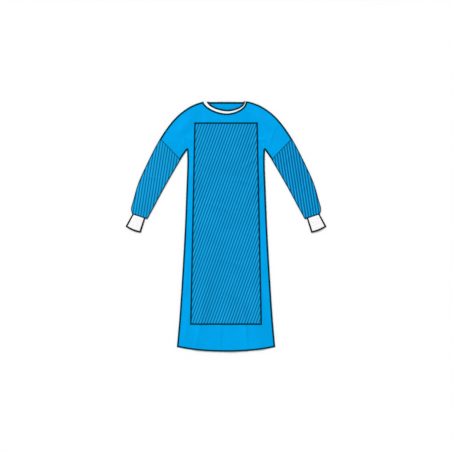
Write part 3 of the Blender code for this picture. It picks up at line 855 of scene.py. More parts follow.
class Finish:
    """A material and short ways to add nodes to it."""

    def __init__(self, name, roughness, specular, sheen=0.0, tint=WHITE):
        self.material = bpy.data.materials.new(name)
        self.material.use_nodes = True
        self.tree = self.material.node_tree
        self.shader = self.tree.nodes["Principled BSDF"]
        self.set("Roughness", roughness)
        self.set("Specular IOR Level", specular)
        self.set("Specular Tint", shade(tint))
        self.set("Sheen Weight", sheen)
        self.set("Sheen Roughness", 0.4)
        self.set("Sheen Tint", shade(tint))
        coordinates = self.add("ShaderNodeTexCoord")
        self.place, self.uv = coordinates["Object"], coordinates["UV"]

    def set(self, socket, value):
        feed(self.tree, value, self.shader.inputs[socket])

    def add(self, kind, feeds=None, **settings):
        return add_node(self.tree, kind, feeds, **settings)

    def math(self, operation, *values):
        return self.add("ShaderNodeMath", dict(enumerate(values)), operation=operation)[0]

    def wave(self, value, length, shape="SINE"):
        """A wave between -1 and 1 that repeats at each length."""
        return self.math(shape, self.math("MULTIPLY", value, 2 * math.pi / length))

    def turned(self, vector, angle, scale=(1.0, 1.0, 1.0)):
        feeds = {"Vector": vector, "Rotation": (0.0, 0.0, angle), "Scale": scale}
        return self.add("ShaderNodeMapping", feeds)["Vector"]

    def axes(self, vector):
        return self.add("ShaderNodeSeparateXYZ", {0: vector})

    def noise(self, vector, scale, detail=2.0, roughness=0.5, kind="FBM", distortion=0.0):
        feeds = {"Vector": vector, "Scale": scale, "Detail": detail, "Roughness": roughness}
        return self.add("ShaderNodeTexNoise", {**feeds, "Distortion": distortion}, noise_type=kind)["Fac"]

    def ramp(self, value, low, high, start=0.0, end=1.0):
        """Smooth change from start to end as value goes from low to high."""
        feeds = {"Value": value, "From Min": low, "From Max": high, "To Min": start, "To Max": end}
        return self.add("ShaderNodeMapRange", feeds, interpolation_type="SMOOTHSTEP")["Result"]

    def blend(self, share, first, second):
        return self.add("ShaderNodeMix", {0: share, 6: first, 7: second}, data_type="RGBA")[2]

    def bump(self, height, distance, normal=None, strength=1.0):
        feeds = {"Height": height, "Distance": distance, "Strength": strength}
        if normal is not None:
            feeds["Normal"] = normal
        return self.add("ShaderNodeBump", feeds)["Normal"]

    def finish(self, colour, roughness, normal):
        self.set("Base Color", colour)
        self.set("Roughness", roughness)
        self.set("Normal", normal)
        return self.material


def nonwoven_base(finish, colour):
    """Cloudy fibre web with a fine bonded grain, with painted shade in the grain's dimples: its colour,
    roughness and normal.
    """
    sizes, place = bpy.context.scene.gown_cloth, finish.place
    clouds = finish.noise(place, 7.0, 3.0, 0.55)
    flocks = finish.noise(place, 190.0, 4.0, 0.6)
    fibres = finish.noise(finish.turned(place, 0.3, (1.0, 0.25, 1.0)), 2600.0, 2.0, 0.6, distortion=0.6)
    wrinkles = finish.noise(place, 16.0, 5.0, 0.62, "RIDGED_MULTIFRACTAL", 0.3)
    grain = finish.axes(finish.turned(place, math.pi / 4))
    across = finish.wave(grain["X"], sizes.grain_spacing, "COSINE")
    down = finish.wave(grain["Y"], sizes.grain_spacing, "COSINE")
    dimples = finish.ramp(finish.math("MULTIPLY", across, down), 0.25, 0.85)
    tone = finish.math("ADD", finish.math("MULTIPLY", clouds, 0.55), finish.math("MULTIPLY", flocks, 0.45))
    base = finish.blend(finish.ramp(tone, 0.30, 0.70), shade(colour, 0.93), shade(colour, 1.06))
    # Painted shade: the colour darkens towards 70 % in the grain's dimples, where the bump below sinks.
    base = finish.blend(finish.math("MULTIPLY", dimples, 0.16), base, shade(colour, 0.70))
    matt = finish.math("SUBTRACT", flocks, finish.math("MULTIPLY", dimples, 0.25))
    normal = finish.bump(wrinkles, 0.0016, strength=sizes.crumple)
    normal = finish.bump(finish.math("SUBTRACT", 1.0, dimples), 0.00016, normal)
    normal = finish.bump(finish.math("ADD", flocks, finish.math("MULTIPLY", fibres, 0.5)), 0.00009, normal)
    return base, finish.ramp(matt, 0.1, 0.8, 0.52, 0.74), normal


def gown_cloth(colour):
    finish = Finish("gown_cloth_finish", 0.62, 0.22, 0.06, BLUE_SHEEN)
    return finish.finish(*nonwoven_base(finish, colour))


def striped_cloth(name, colours, slant, start, line_width):
    """Reinforced cloth: the gown's cloth with slightly raised slanting lines of darker blue."""
    spacing = bpy.context.scene.gown_stripes.spacing
    finish = Finish(name, 0.55, 0.26, 0.05, BLUE_SHEEN)
    base, roughness, normal = nonwoven_base(finish, colours.reinforced)
    feeds = {0: finish.place, 1: (math.sin(slant), -math.cos(slant), 0.0)}
    square = finish.add("ShaderNodeVectorMath", feeds, operation="DOT_PRODUCT")["Value"]
    drift = finish.math("MULTIPLY", finish.math("SUBTRACT", finish.noise(finish.place, 9.0), 0.5), 0.0008)
    across = finish.math("SUBTRACT", finish.math("ADD", square, drift), start)
    run = finish.math("FRACT", finish.math("DIVIDE", across, spacing))
    away = finish.math("ABSOLUTE", finish.math("SUBTRACT", run, 0.5))
    half = line_width / spacing / 2
    line = finish.ramp(away, half * 0.75, half * 1.25, 1.0, 0.0)
    wear = finish.ramp(finish.noise(finish.place, 420.0, 3.0), 0.25, 0.75, 0.84, 1.0)
    colour = finish.blend(finish.math("MULTIPLY", line, wear), base, shade(colours.stripe))
    rib = finish.ramp(away, 0.0, half * 1.5, 1.0, 0.0)
    return finish.finish(colour, roughness, finish.bump(rib, 0.0005, normal))


def rib_knit(colour):
    """White knit: small loops along each rib, with painted shade between them. UVs run along the cuff and
    round it.
    """
    finish = Finish("white_knit_finish", 0.9, 0.15, 0.25)
    loops = finish.axes(finish.uv)
    lean = finish.math("MULTIPLY", finish.wave(loops["Y"], 0.0022), 0.0004)
    rows = finish.wave(finish.math("ADD", loops["X"], lean), 0.0013)
    knit = finish.math("ADD", rows, finish.math("MULTIPLY", finish.wave(loops["Y"], 0.0011), 0.6))
    fuzz = finish.noise(finish.place, 1500.0, 3.0, 0.6)
    # Painted shade: the colour is darker where the loops' bump height is low.
    base = finish.blend(finish.ramp(knit, -1.6, 1.2), shade(colour, 0.95), shade(colour, 1.03))
    normal = finish.bump(fuzz, 0.00010, finish.bump(knit, 0.00012))
    return finish.finish(base, finish.ramp(fuzz, 0.2, 0.8, 0.82, 0.95), normal)


def woven(name, colour, thread, roughness, sheen, specular=0.2, uv=True, tint=WHITE, dark=0.82):
    """A narrow tape's plain weave, with a random tone and a little painted shade in the weave's hollows."""
    finish = Finish(name, roughness, specular, sheen, tint)
    turned = finish.axes(finish.turned(finish.uv if uv else finish.place, math.radians(35)))
    weave = finish.math("MULTIPLY", finish.wave(turned["X"], thread), finish.wave(turned["Y"], thread / 0.8))
    wear = finish.noise(finish.place, 60.0, 4.0, 0.6)
    # The tone is the random wear noise plus painted shade that follows the weave's bump height.
    tone = finish.math("ADD", finish.math("MULTIPLY", weave, 0.12), wear)
    base = finish.blend(finish.ramp(tone, 0.25, 0.75), shade(colour, dark), shade(colour, 1.12))
    matt = finish.ramp(wear, 0.3, 0.7, roughness - 0.06, roughness + 0.06)
    return finish.finish(base, matt, finish.bump(weave, 0.00014))


def thread(name, colour, tint=WHITE):
    """Sewing thread, with its ply showing as a slanting twist, in its bump and as painted light and shade in
    its colour.
    """
    finish = Finish(name, 0.55, 0.3, 0.15, tint)
    ply = finish.wave(finish.axes(finish.turned(finish.place, 0.9))["X"], 0.0009)
    # Painted light and shade: the colour runs from dark to light over each ply, as its bump does.
    base = finish.blend(finish.ramp(ply, -1.0, 1.0), shade(colour, 0.75), shade(colour, 1.2))
    fuzz = finish.noise(finish.place, 3000.0)
    return finish.finish(base, finish.ramp(fuzz, 0.2, 0.8, 0.5, 0.65), finish.bump(ply, 0.00006))


def fastener(colour):
    """Hook and loop tape: a dense low pile, with painted shade where the pile is low."""
    finish = Finish("fastener_finish", 0.95, 0.15, 0.3)
    pile = finish.noise(finish.place, 1800.0, 4.0, 0.7)
    rows = finish.wave(finish.axes(finish.place)["X"], 0.0016)
    height = finish.math("ADD", pile, finish.math("MULTIPLY", rows, 0.2))
    # Painted shade: the colour is darker where the pile's bump height is low.
    base = finish.blend(finish.ramp(height, 0.3, 0.8), shade(colour, 0.75), shade(colour, 1.1))
    return finish.finish(base, finish.ramp(pile, 0.2, 0.8, 0.85, 1.0), finish.bump(height, 0.0003))


def stripes(place, colours):
    """Reinforced cloth for the front or a sleeve, with its lines where that piece has them."""
    lines = bpy.context.scene.gown_stripes
    slant = {"front": lines.front_slant, "left_sleeve": math.pi - lines.sleeve_slant}
    start, width = getattr(lines, f"{place}_start"), getattr(lines, f"{place}_line")
    return striped_cloth(f"{place}_stripes", colours, slant.get(place, lines.sleeve_slant), start, width)


MAKERS = {
    "gown_cloth": lambda colours: gown_cloth(colours.cloth),
    "front_stripes": lambda colours: stripes("front", colours),
    "left_sleeve_stripes": lambda colours: stripes("left_sleeve", colours),
    "right_sleeve_stripes": lambda colours: stripes("right_sleeve", colours),
    "rib_knit": lambda colours: rib_knit(colours.knit),
    "neck_band": lambda colours: woven("neck_band_finish", colours.band, 0.0011, 0.85, 0.2, dark=0.94),
    "seam_tape": lambda colours: woven(
        "seam_tape_finish", colours.tape, 0.0008, 0.7, 0.0, 0.1, tint=BLUE_SHEEN
    ),
    "cuff_tape": lambda colours: woven("cuff_tape_finish", colours.cuff_tape, 0.0008, 0.8, 0.0, 0.1),
    "tie_tape": lambda colours: woven("tie_tape_finish", colours.cloth, 0.0009, 0.75, 0.05, uv=False),
    "seam_thread": lambda colours: thread("seam_thread_finish", colours.thread, BLUE_SHEEN),
    "white_thread": lambda colours: thread("white_thread_finish", colours.knit),
    "fastener": lambda colours: fastener(colours.fastener),
}
MADE = {}


def material(name):
    if name not in MADE:
        MADE[name] = MAKERS[name](bpy.context.scene.gown_colours)
    return MADE[name]


# Stitches


def stitch_tree():
    """Thread stitches laid along lines: one short tapered stroke at each step, along or across the line."""
    tree = bpy.data.node_groups.new("Stitches along lines", "GeometryNodeTree")
    face = tree.interface
    face.new_socket("Lines", in_out="INPUT", socket_type="NodeSocketGeometry")
    sockets = {}
    for name in ("Pitch", "Along", "Across", "Thickness"):
        sockets[name] = face.new_socket(name, in_out="INPUT", socket_type="NodeSocketFloat")
    sockets["Thread"] = face.new_socket("Thread", in_out="INPUT", socket_type="NodeSocketMaterial")
    face.new_socket("Stitches", in_out="OUTPUT", socket_type="NodeSocketGeometry")
    given = add_node(tree, "NodeGroupInput")

    def add(kind, feeds, **settings):
        return add_node(tree, kind, feeds, **settings)[0]

    def half(name, sign):
        return add("ShaderNodeMath", {0: given[name], 1: sign / 2}, operation="MULTIPLY")

    def end(sign):
        return add("ShaderNodeCombineXYZ", {"X": half("Along", sign), "Y": half("Across", sign)})

    curves = add("GeometryNodeMeshToCurve", {"Mesh": given["Lines"]})
    steps = add("GeometryNodeResampleCurve", {"Curve": curves, "Length": given["Pitch"]}, mode="LENGTH")
    stroke = add("GeometryNodeCurvePrimitiveLine", {"Start": end(-1), "End": end(1)})
    joints = add("GeometryNodeResampleCurve", {"Curve": stroke, "Count": 4}, mode="COUNT")

    taper = tree.nodes.new("ShaderNodeFloatCurve")
    points = taper.mapping.curves[0].points
    points[0].location, points[-1].location = (0.0, 0.45), (1.0, 0.45)
    points.new(0.3, 1.0)
    points.new(0.7, 1.0)
    taper.mapping.update()
    feed(tree, add_node(tree, "GeometryNodeSplineParameter")["Factor"], taper.inputs["Value"])
    swell = taper.outputs["Value"]

    spine = add("GeometryNodeSetCurveRadius", {"Curve": joints, "Radius": swell})
    round_thread = {"Resolution": 5, "Radius": half("Thickness", 1)}
    ring = add("GeometryNodeCurvePrimitiveCircle", round_thread, mode="RADIUS")
    solid = tree.nodes.new("GeometryNodeCurveToMesh")
    for name, value in (("Curve", spine), ("Profile Curve", ring), ("Fill Caps", True), ("Scale", swell)):
        if name in solid.inputs:
            feed(tree, value, solid.inputs[name])
    way = add_node(tree, "GeometryNodeInputTangent")["Tangent"]
    turn = add("FunctionNodeAlignRotationToVector", {"Vector": way}, axis="X")
    feeds = {"Points": steps, "Instance": solid.outputs["Mesh"], "Rotation": turn}
    real = add("GeometryNodeRealizeInstances", {"Geometry": add("GeometryNodeInstanceOnPoints", feeds)})
    smooth = add("GeometryNodeSetShadeSmooth", {"Geometry": real})
    dyed = add("GeometryNodeSetMaterial", {"Geometry": smooth, "Material": given["Thread"]})
    add_node(tree, "NodeGroupOutput", {"Stitches": dyed})
    return tree, {name: socket.identifier for name, socket in sockets.items()}


def stitched(name, lines, thread_material, pitch, along, across, thickness):
    """A piece made of stitches along the given lines of points in space."""
    if "tree" not in MADE:
        MADE["tree"] = stitch_tree()
    tree, sockets = MADE["tree"]
    points, edges = [], []
    for line in lines:
        start = len(points)
        points += line.tolist()
        edges += [(i, i + 1) for i in range(start, len(points) - 1)]
    guide_mesh = bpy.data.meshes.new(name + "_lines")
    guide_mesh.from_pydata(points, edges, [])
    guide = placed(name + "_lines", guide_mesh)
    nodes = guide.modifiers.new("Stitches", "NODES")
    nodes.node_group = tree
    values = {"Pitch": pitch, "Along": along, "Across": across, "Thickness": thickness}
    for key, value in {**values, "Thread": thread_material}.items():
        nodes[sockets[key]] = value
    bpy.context.view_layer.update()
    graph = bpy.context.evaluated_depsgraph_get()
    mesh = bpy.data.meshes.new_from_object(guide.evaluated_get(graph))
    bpy.data.objects.remove(guide)
    mesh.name = name
    if not mesh.polygons:
        raise RuntimeError(f"{name} came out with no stitches")
    piece = placed(name, mesh)
    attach(piece, "root")
    return piece


# Settings that a user would change

length = partial(FloatProperty, unit="LENGTH")
angle = partial(FloatProperty, subtype="ANGLE")
strength = partial(FloatProperty, subtype="FACTOR", min=0.0)
tone = partial(FloatVectorProperty, subtype="COLOR")


class GownCloth(bpy.types.PropertyGroup):
    """Sizes of the cloth itself."""

    cloth: length(name="Cloth", description="Thickness of the gown's cloth", default=0.0007)
    reinforcement: length(
        name="Reinforcement", description="Thickness of the front reinforcement", default=0.0006
    )
    grain_spacing: length(
        name="Grain", description="Distance between the dimples of the grain", default=0.0034
    )
    folds: strength(name="Folds", description="Height of the broad folds", default=1.2, max=2.0)
    creases: strength(name="Creases", description="Height of the creases", default=1.7, max=3.0)
    crumple: strength(name="Crumple", description="Strength of the fine wrinkles", default=0.6, max=1.0)


class GownStripes(bpy.types.PropertyGroup):
    """The slanting lines of the reinforced cloth."""

    spacing: length(name="Spacing", description="Distance between two lines, square to them", default=0.01404)
    front_slant: angle(
        name="Front slant",
        description="Angle of the front's lines from the hem's direction",
        default=math.radians(70.04),
    )
    sleeve_slant: angle(
        name="Sleeve slant",
        description="Angle of the right sleeve's lines; the left's mirror it",
        default=math.radians(81.3),
    )
    front_start: length(
        name="Front start", description="Where the front's lines start to count", default=0.00142
    )
    left_sleeve_start: length(
        name="Left start", description="Where the left sleeve's lines start to count", default=0.00374
    )
    right_sleeve_start: length(
        name="Right start", description="Where the right sleeve's lines start to count", default=-0.00427
    )
    front_line: length(name="Front line", description="Width of one line on the front", default=0.0057)
    left_sleeve_line: length(
        name="Left line", description="Width of one line on the left sleeve", default=0.0077
    )
    right_sleeve_line: length(
        name="Right line", description="Width of one line on the right sleeve", default=0.0054
    )


class GownSewing(bpy.types.PropertyGroup):
    """Tapes and stitches."""

    seam_tape: length(name="Seam tape", description="Width of the tape over the outer seams", default=0.0080)
    lower_tape: length(
        name="Lower tape", description="Width of the tape over the lower sleeves' seams", default=0.0038
    )
    end_tape: length(
        name="End tape", description="Width of the tape at the lower sleeves' ends", default=0.0052
    )
    border_tape: length(
        name="Border tape", description="Width of the tape round the reinforcement", default=0.0072
    )
    sleeve_tape: length(
        name="Sleeve tape", description="Width of the tape over the slanting seams", default=0.0030
    )
    neck_tape: length(name="Neck tape", description="Width of the tape under the neck band", default=0.0092)
    # The tape on the neck's cut edge is partly a seam tape and partly painted shadow, for the shade under the
    # band's edge.
    neck_edge_shadow_tape: length(
        name="Neck edge tape", description="Width of the tape on the neck's cut edge", default=0.0082
    )
    back_neck_tape: length(
        name="Back neck tape", description="Width of the tape over the back neck", default=0.0095
    )
    cuff_tape: length(name="Cuff tape", description="Width of the binding round a cuff", default=0.0075)
    stitch: length(name="Stitch", description="Length of one stitch", default=0.0036)
    thread: length(name="Thread", description="Thickness of the thread", default=0.0006)


class GownColours(bpy.types.PropertyGroup):
    """Colours of the gown, linear red, green and blue."""

    cloth: tone(name="Cloth", description="Colour of the gown's cloth", default=(0.0, 0.350, 0.796))
    reinforced: tone(
        name="Reinforced cloth",
        description="Colour of the cloth between its lines",
        default=(0.0075, 0.347, 0.676),
    )
    stripe: tone(name="Lines", description="Colour of the slanting lines", default=(0.0, 0.096, 0.305))
    tape: tone(name="Seam tape", description="Colour of the seam tapes", default=(0.0, 0.029, 0.050))
    thread: tone(name="Thread", description="Colour of the seam thread", default=(0.0, 0.035, 0.062))
    cuff_tape: tone(
        name="Cuff binding", description="Colour of the cuffs' binding", default=(0.009, 0.009, 0.011)
    )
    knit: tone(name="Knit", description="Colour of the cuffs", default=(0.97, 0.97, 0.97))
    band: tone(name="Neck band", description="Colour of the neck band", default=(0.97, 0.97, 0.97))
    fastener: tone(name="Fastener", description="Colour of the neck fastener", default=(0.72, 0.76, 0.80))


# Pieces

SIDES = (("left", 1), ("right", -1))


def stand_for(piece, node, slot, **cut):
    """Hide one of the part's solids, so that a piece shows in its place."""
    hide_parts(node)


class GOWN_OT_backs(bpy.types.Operator):
    """Two backs that overlap past the centre, the left one inside"""

    bl_idname = "gown.backs"
    bl_label = "Backs"

    def execute(self, context):
        wall = context.scene.gown_cloth.cloth
        for wearer, side, rest in (("right", -1, []), ("left", 1, ["back_right"])):
            layout = Layout(self.body(side), upper_sleeve_grid(side))
            top = inner_back_top(layout.flat) if side == 1 else np.full(len(layout.flat), WALL)
            piece = cloth_panel(f"gown_back_{wearer}", layout, top, wall, material("gown_cloth"))
            stand_for(piece, f"back_{wearer}", "gown_cloth", **layout.cut(), rests_on=rest)
        return {"FINISHED"}

    def body(self, side):
        """Rows of one back, from its free edge past the centre to the side seam."""
        ramp = FREE_EDGE + GAP + STEP_DOWN * np.linspace(0, 1, 9)
        inner = np.linspace(-FREE_EDGE, FREE_EDGE, 41)

        def columns(edge):
            return np.concatenate([inner, ramp, np.linspace(ramp[-1], edge, 15)[1:]])

        top_x = columns(SLEEVE[0][0])
        line = over_arm(np.linspace(-len(SHOULDER), 0, 200))
        top_y = np.where(top_x < SHOULDER[0][0], BACK_NECK_TOP, np.interp(top_x, line[:, 0], line[:, 1]))
        rows = body_rows(lambda y: columns(float(side_x(y))), with_height(top_x, top_y))
        return [row * (side, 1) for row in rows]


class GOWN_OT_closures(bpy.types.Operator):
    """Waist ties and the neck's hook and loop patches, which lie between the backs"""

    bl_idname = "gown.closures"
    bl_label = "Ties and neck patches"

    def execute(self, context):
        tie_x, tie_y = FREE_EDGE - TIE_INSET - TIE_SIZE[0] / 2, TIE_TOP - TIE_SIZE[1] / 2
        tie = (TIE_SIZE, "tie_tape", "tie_cloth")
        patch = (PATCH_SIZE, "fastener", "fastener_tape")
        for node, x, y, bottom, (size, finish, slot) in (
            ("tie_outer", tie_x, tie_y, LAYER, tie),
            ("tie_inner", -tie_x, tie_y, LAYER, tie),
            ("neck_loop_patch", 0.0, PATCH_Y, LAYER, patch),
            ("neck_hook_patch", 0.0, PATCH_Y, LAYER + TAPE + GAP, patch),
        ):
            piece = self.strip(f"{node}_tape", (x, y), size, bottom, material(finish))
            stand_for(piece, node, slot, flat=size, rests_on=["back_right"])
        return {"FINISHED"}

    def strip(self, name, centre, size, bottom, finish):
        """A flat tape with slightly rounded corners and edges."""
        corner = 0.0015
        outline = []
        for turn, signs in enumerate(((1, 1), (-1, 1), (-1, -1), (1, -1))):
            for step in range(4):
                angle = (turn + step / 3) * math.pi / 2
                middle = np.array(centre) + np.array(signs) * (np.array(size) / 2 - corner)
                outline.append(middle + corner * np.array([math.cos(angle), math.sin(angle)]))
        rings = []
        for inset, height in ((0.02, 0.0001), (0.0, 0.0003), (0.0, 0.0007), (0.02, 0.0009)):
            ring = mix(outline, centre, inset)
            rings.append(np.column_stack([ring, np.full(len(ring), bottom + height)]))
        return sweep(name, rings, finish)


class GOWN_OT_front(bpy.types.Operator):
    """Front of the body and upper sleeves, cut in one"""

    bl_idname = "gown.front"
    bl_label = "Front"

    def execute(self, context):
        layout = Layout(body_grid(), neck_rows(), upper_sleeve_grid(1), upper_sleeve_grid(-1))
        wall = context.scene.gown_cloth.cloth
        piece = cloth_panel("gown_front", layout, front_top(layout.flat), wall, material("gown_cloth"))
        stand_for(piece, "front", "gown_cloth", **layout.cut(), rests_on=["back_left", "back_right"])
        return {"FINISHED"}


def reinforcement_top(points):
    return front_top(points) + GAP + bpy.context.scene.gown_cloth.reinforcement


class GOWN_OT_reinforcement(bpy.types.Operator):
    """Striped reinforcement on the front, made from the front's own points"""

    bl_idname = "gown.reinforcement"
    bl_label = "Front reinforcement"

    def execute(self, context):
        rows = body_grid()[HEM_ROWS : HEM_ROWS + len(level_heights())]
        layout = Layout([row[SIDE_COLUMNS : len(row) - SIDE_COLUMNS] for row in rows])
        top, wall = reinforcement_top(layout.flat), context.scene.gown_cloth.reinforcement
        piece = cloth_panel("gown_front_reinforcement", layout, top, wall, material("front_stripes"))
        stand_for(piece, "front_reinforcement", "striped_cloth", **layout.cut(), rests_on=["front"])
        return {"FINISHED"}


class GOWN_OT_sleeves(bpy.types.Operator):
    """Lower sleeves: flat tubes of striped cloth, from the slanting seam to the cuff"""

    bl_idname = "gown.sleeves"
    bl_label = "Lower sleeves"

    def execute(self, context):
        wall = context.scene.gown_cloth.cloth
        sections = np.linspace(SEAM_SECTION, LAST_SECTION, LOWER_SLEEVE_ROWS + 1)
        for wearer, side in SIDES:
            outer, inner = ([self.ring(s, side, inset) for s in sections] for inset in (0.0, wall))
            piece = tube_piece(f"gown_sleeve_{wearer}", outer, inner, material(f"{wearer}_sleeve_stripes"))
            stand_for(piece, f"sleeve_{wearer}", "striped_cloth", **self.cut())
        return {"FINISHED"}

    def cut(self):
        """The sleeve cut open along its underarm: twice what shows from above."""
        sections = np.linspace(SEAM_SECTION, LAST_SECTION, 25)
        under, over = underarm(sections), over_arm(sections)
        width = 2 * float(np.linalg.norm(over - under, axis=1).max())
        quads = np.stack([under[:-1], over[:-1], over[1:], under[1:]], axis=1)
        x, y = np.moveaxis(quads, 2, 0)
        area = np.abs((x * np.roll(y, -1, axis=1) - y * np.roll(x, -1, axis=1)).sum(1)).sum()
        return {"flat": (width, float(distances(over)[-1])), "area": float(area)}

    def ring(self, section, side, inset):
        ahead = GAP / 2 * sleeve_axis(section) if section == SEAM_SECTION else np.zeros(2)
        under, over = underarm([section])[0] + ahead, over_arm([section])[0] + ahead
        width = np.linalg.norm(over - under)
        along = (section - SEAM_SECTION) / (LAST_SECTION - SEAM_SECTION)
        reach = float(mix(LOFT_REACH, LOFT_REACH_CUFF, along))
        start, end = mix(under, over, inset / width), mix(over, under, inset / width)

        def place(shares):
            return mix(start, end, shares) * (side, 1)

        def top(shares):
            return front_top(place(shares), reach) - inset

        return flat_tube_ring(place, np.linspace(0, 1, 31), SLEEVE_EDGE / width, inset, top)


class GOWN_OT_cuffs(bpy.types.Operator):
    """Ribbed cuffs with a dark binding round their edges"""

    bl_idname = "gown.cuffs"
    bl_label = "Cuffs"

    def execute(self, context):
        for wearer, side in SIDES:
            cuff = Cuff(side)
            stations = np.linspace(0, cuff.length, 27)
            outer, inner = ([self.ring(cuff, s, inset) for s in stations] for inset in (0.0, KNIT * 0.8))
            piece = tube_piece(f"gown_cuff_{wearer}", outer, inner, material("rib_knit"))
            stand_for(piece, f"cuff_{wearer}", "white_knit", flat=(2 * float(cuff.width), cuff.length))
            corners = [(0.0, 0.0), (0.0, cuff.length), (cuff.width, cuff.length), (cuff.width, 0.0)]
            line = rounded(evenly(corners, 0.003), 0.002)
            width, dark = context.scene.gown_sewing.cuff_tape, material("cuff_tape")
            name = f"cuff_binding_{wearer}"
            binding = tape(name, line, -1, width, cuff.binding_base, dark, to_the_floor, cuff.place)
        return {"FINISHED"}

    def clear_of_binding(self, cuff, shares, along):
        """0 where the binding presses the ribs flat, 1 on the open knit."""
        across = np.asarray(shares) * cuff.width
        edge = np.minimum(np.minimum(across, cuff.width - across), cuff.length - along)
        binding = bpy.context.scene.gown_sewing.cuff_tape
        return ease((edge - 0.8 * binding) / (0.5 * binding))

    def ring(self, cuff, along, inset):
        def place(shares):
            across = np.clip(shares, 0, 1) * (cuff.width - 2 * inset) + inset
            return cuff.place(with_height(across, along))

        def top(shares):
            open_knit = 0.0 if inset else cuff.fullness(along) * self.clear_of_binding(cuff, shares, along)
            ribs = np.abs(np.sin(math.pi * shares * CUFF_RIBS)) ** 0.8
            return cuff.dome(shares, along) + RIB_HEIGHT * open_knit * ribs - inset

        return flat_tube_ring(place, np.linspace(0, 1, 8 * CUFF_RIBS + 1), CUFF_EDGE / cuff.width, inset, top)


def band_puff(share):
    return BAND_PUFF * np.sin(math.pi * np.clip(share, 0, 1)) ** 0.6


def on_band(share, height):
    """Points at a share of the neck band's width from its outer seam, lifted off the front."""
    cut, outer = binding_lines()
    return raised(mix(outer, cut, share), front_top, GAP + height)


def band_edge_top(points):
    """Upper side of the neck band, near its cut edge."""
    return front_top(points) + GAP + BAND_WALL + BAND_EDGE_PUFF


class GOWN_OT_neck_band(bpy.types.Operator):
    """White band folded over the front neckline"""

    bl_idname = "gown.neck_band"
    bl_label = "Neck band"

    def execute(self, context):
        cut, outer = binding_lines()
        widths = np.linalg.norm(cut - outer, axis=1)
        inward = (cut - outer) / widths[:, None]
        columns = [on_band(0.0, 0.0)]
        over = (0.0, 0.12, 0.3, 0.5, 0.7, 0.88, 1.0)
        columns += [on_band(share, BAND_WALL + band_puff(share)) for share in over]
        for reach, height in (
            (0.0009, GAP + 0.5 * BAND_WALL),
            (0.0013, -0.5 * WALL),
            (0.0010, -WALL),
            (0.0003, -WALL),
            (0.0003, GAP),
        ):
            columns.append(np.column_stack([cut + reach * inward, front_top(cut) + height]))
        columns += [on_band(share, 0.0) for share in (0.7, 0.35)]
        piece = sweep("gown_neck_band", np.stack(columns, axis=1), material("neck_band"))
        size = (float(widths.mean()) + BAND_TURN, float(distances((cut + outer) / 2)[-1]))
        stand_for(piece, "neck_binding", "white_binding", flat=size, rests_on=["front"])
        return {"FINISHED"}


class GOWN_OT_seams(bpy.types.Operator):
    """Dark tapes over the seams and edges; the one on the neck's cut edge is partly painted shadow"""

    bl_idname = "gown.seams"
    bl_label = "Seam tapes"

    def execute(self, context):
        sewing = context.scene.gown_sewing
        dark = material("seam_tape")
        pieces = []
        for wearer, side in SIDES:
            for name, line, inwards in (
                (f"side_seam_{wearer}", side_and_underarm(side), side),
                (f"over_arm_seam_{wearer}", shoulder_and_over_arm(side), -side),
            ):
                width = seam_width(line)
                pieces.append(tape(name, line, inwards, width, front_top, dark, to_the_floor, lift=OVER_TAPE))
            pieces.append(self.sleeve_seam(wearer, side, sewing.sleeve_tape, dark))
            pieces.append(self.sleeve_end(wearer, side, sewing.end_tape, dark))
        pieces.append(self.hem(sewing.seam_tape, dark))
        pieces.append(self.border(sewing.border_tape, dark))
        pieces += self.neck(sewing, dark)
        return {"FINISHED"}

    def sleeve_seam(self, wearer, side, width, dark):
        line = across_sleeve(SEAM_SECTION, 0.004) - sleeve_axis(SEAM_SECTION) * width / 2
        return tape(f"sleeve_seam_{wearer}", line * (side, 1), -side, width, front_top, dark)

    def sleeve_end(self, wearer, side, width, dark):
        line = across_sleeve(LAST_SECTION, 0.003) + sleeve_axis(LAST_SECTION) * 0.0008

        def top(points):
            return front_top(points, LOFT_REACH_CUFF)

        return tape(f"sleeve_end_{wearer}", line * (side, 1), side, width, top, dark, to_the_floor)

    def hem(self, width, dark):
        xs = np.linspace(-HEM_CORNER[0], HEM_CORNER[0], 141)
        return tape("front_hem", with_height(xs, hem_y(xs)), 1, width, front_top, dark, to_the_front)

    def border(self, width, dark):
        def to_the_cloth(line):
            return front_top(line) + 0.0001

        line, name = border_line()[:-1], "reinforcement_border"
        return tape(name, line, 1, width, reinforcement_top, dark, to_the_cloth, closed=True)

    def neck(self, sewing, dark):
        cut, outer = binding_lines()
        edge_line = cut + (cut - outer) / np.linalg.norm(cut - outer, axis=1)[:, None] * BAND_TURN / 2
        back_line = with_height(np.linspace(-FREE_EDGE, FREE_EDGE, 101), BACK_NECK_TOP)
        return [
            tape("neck_seam", outer, -1, sewing.neck_tape, front_top, dark),
            # This dark tape over the band's cut edge is partly a seam tape and partly painted shadow, for the
            # shade under the band's edge.
            tape("neck_edge", edge_line, -1, sewing.neck_edge_shadow_tape, band_edge_top, dark, to_the_front),
            tape("back_neck_edge", back_line, -1, sewing.back_neck_tape, inner_back_top, dark, to_the_floor),
        ]


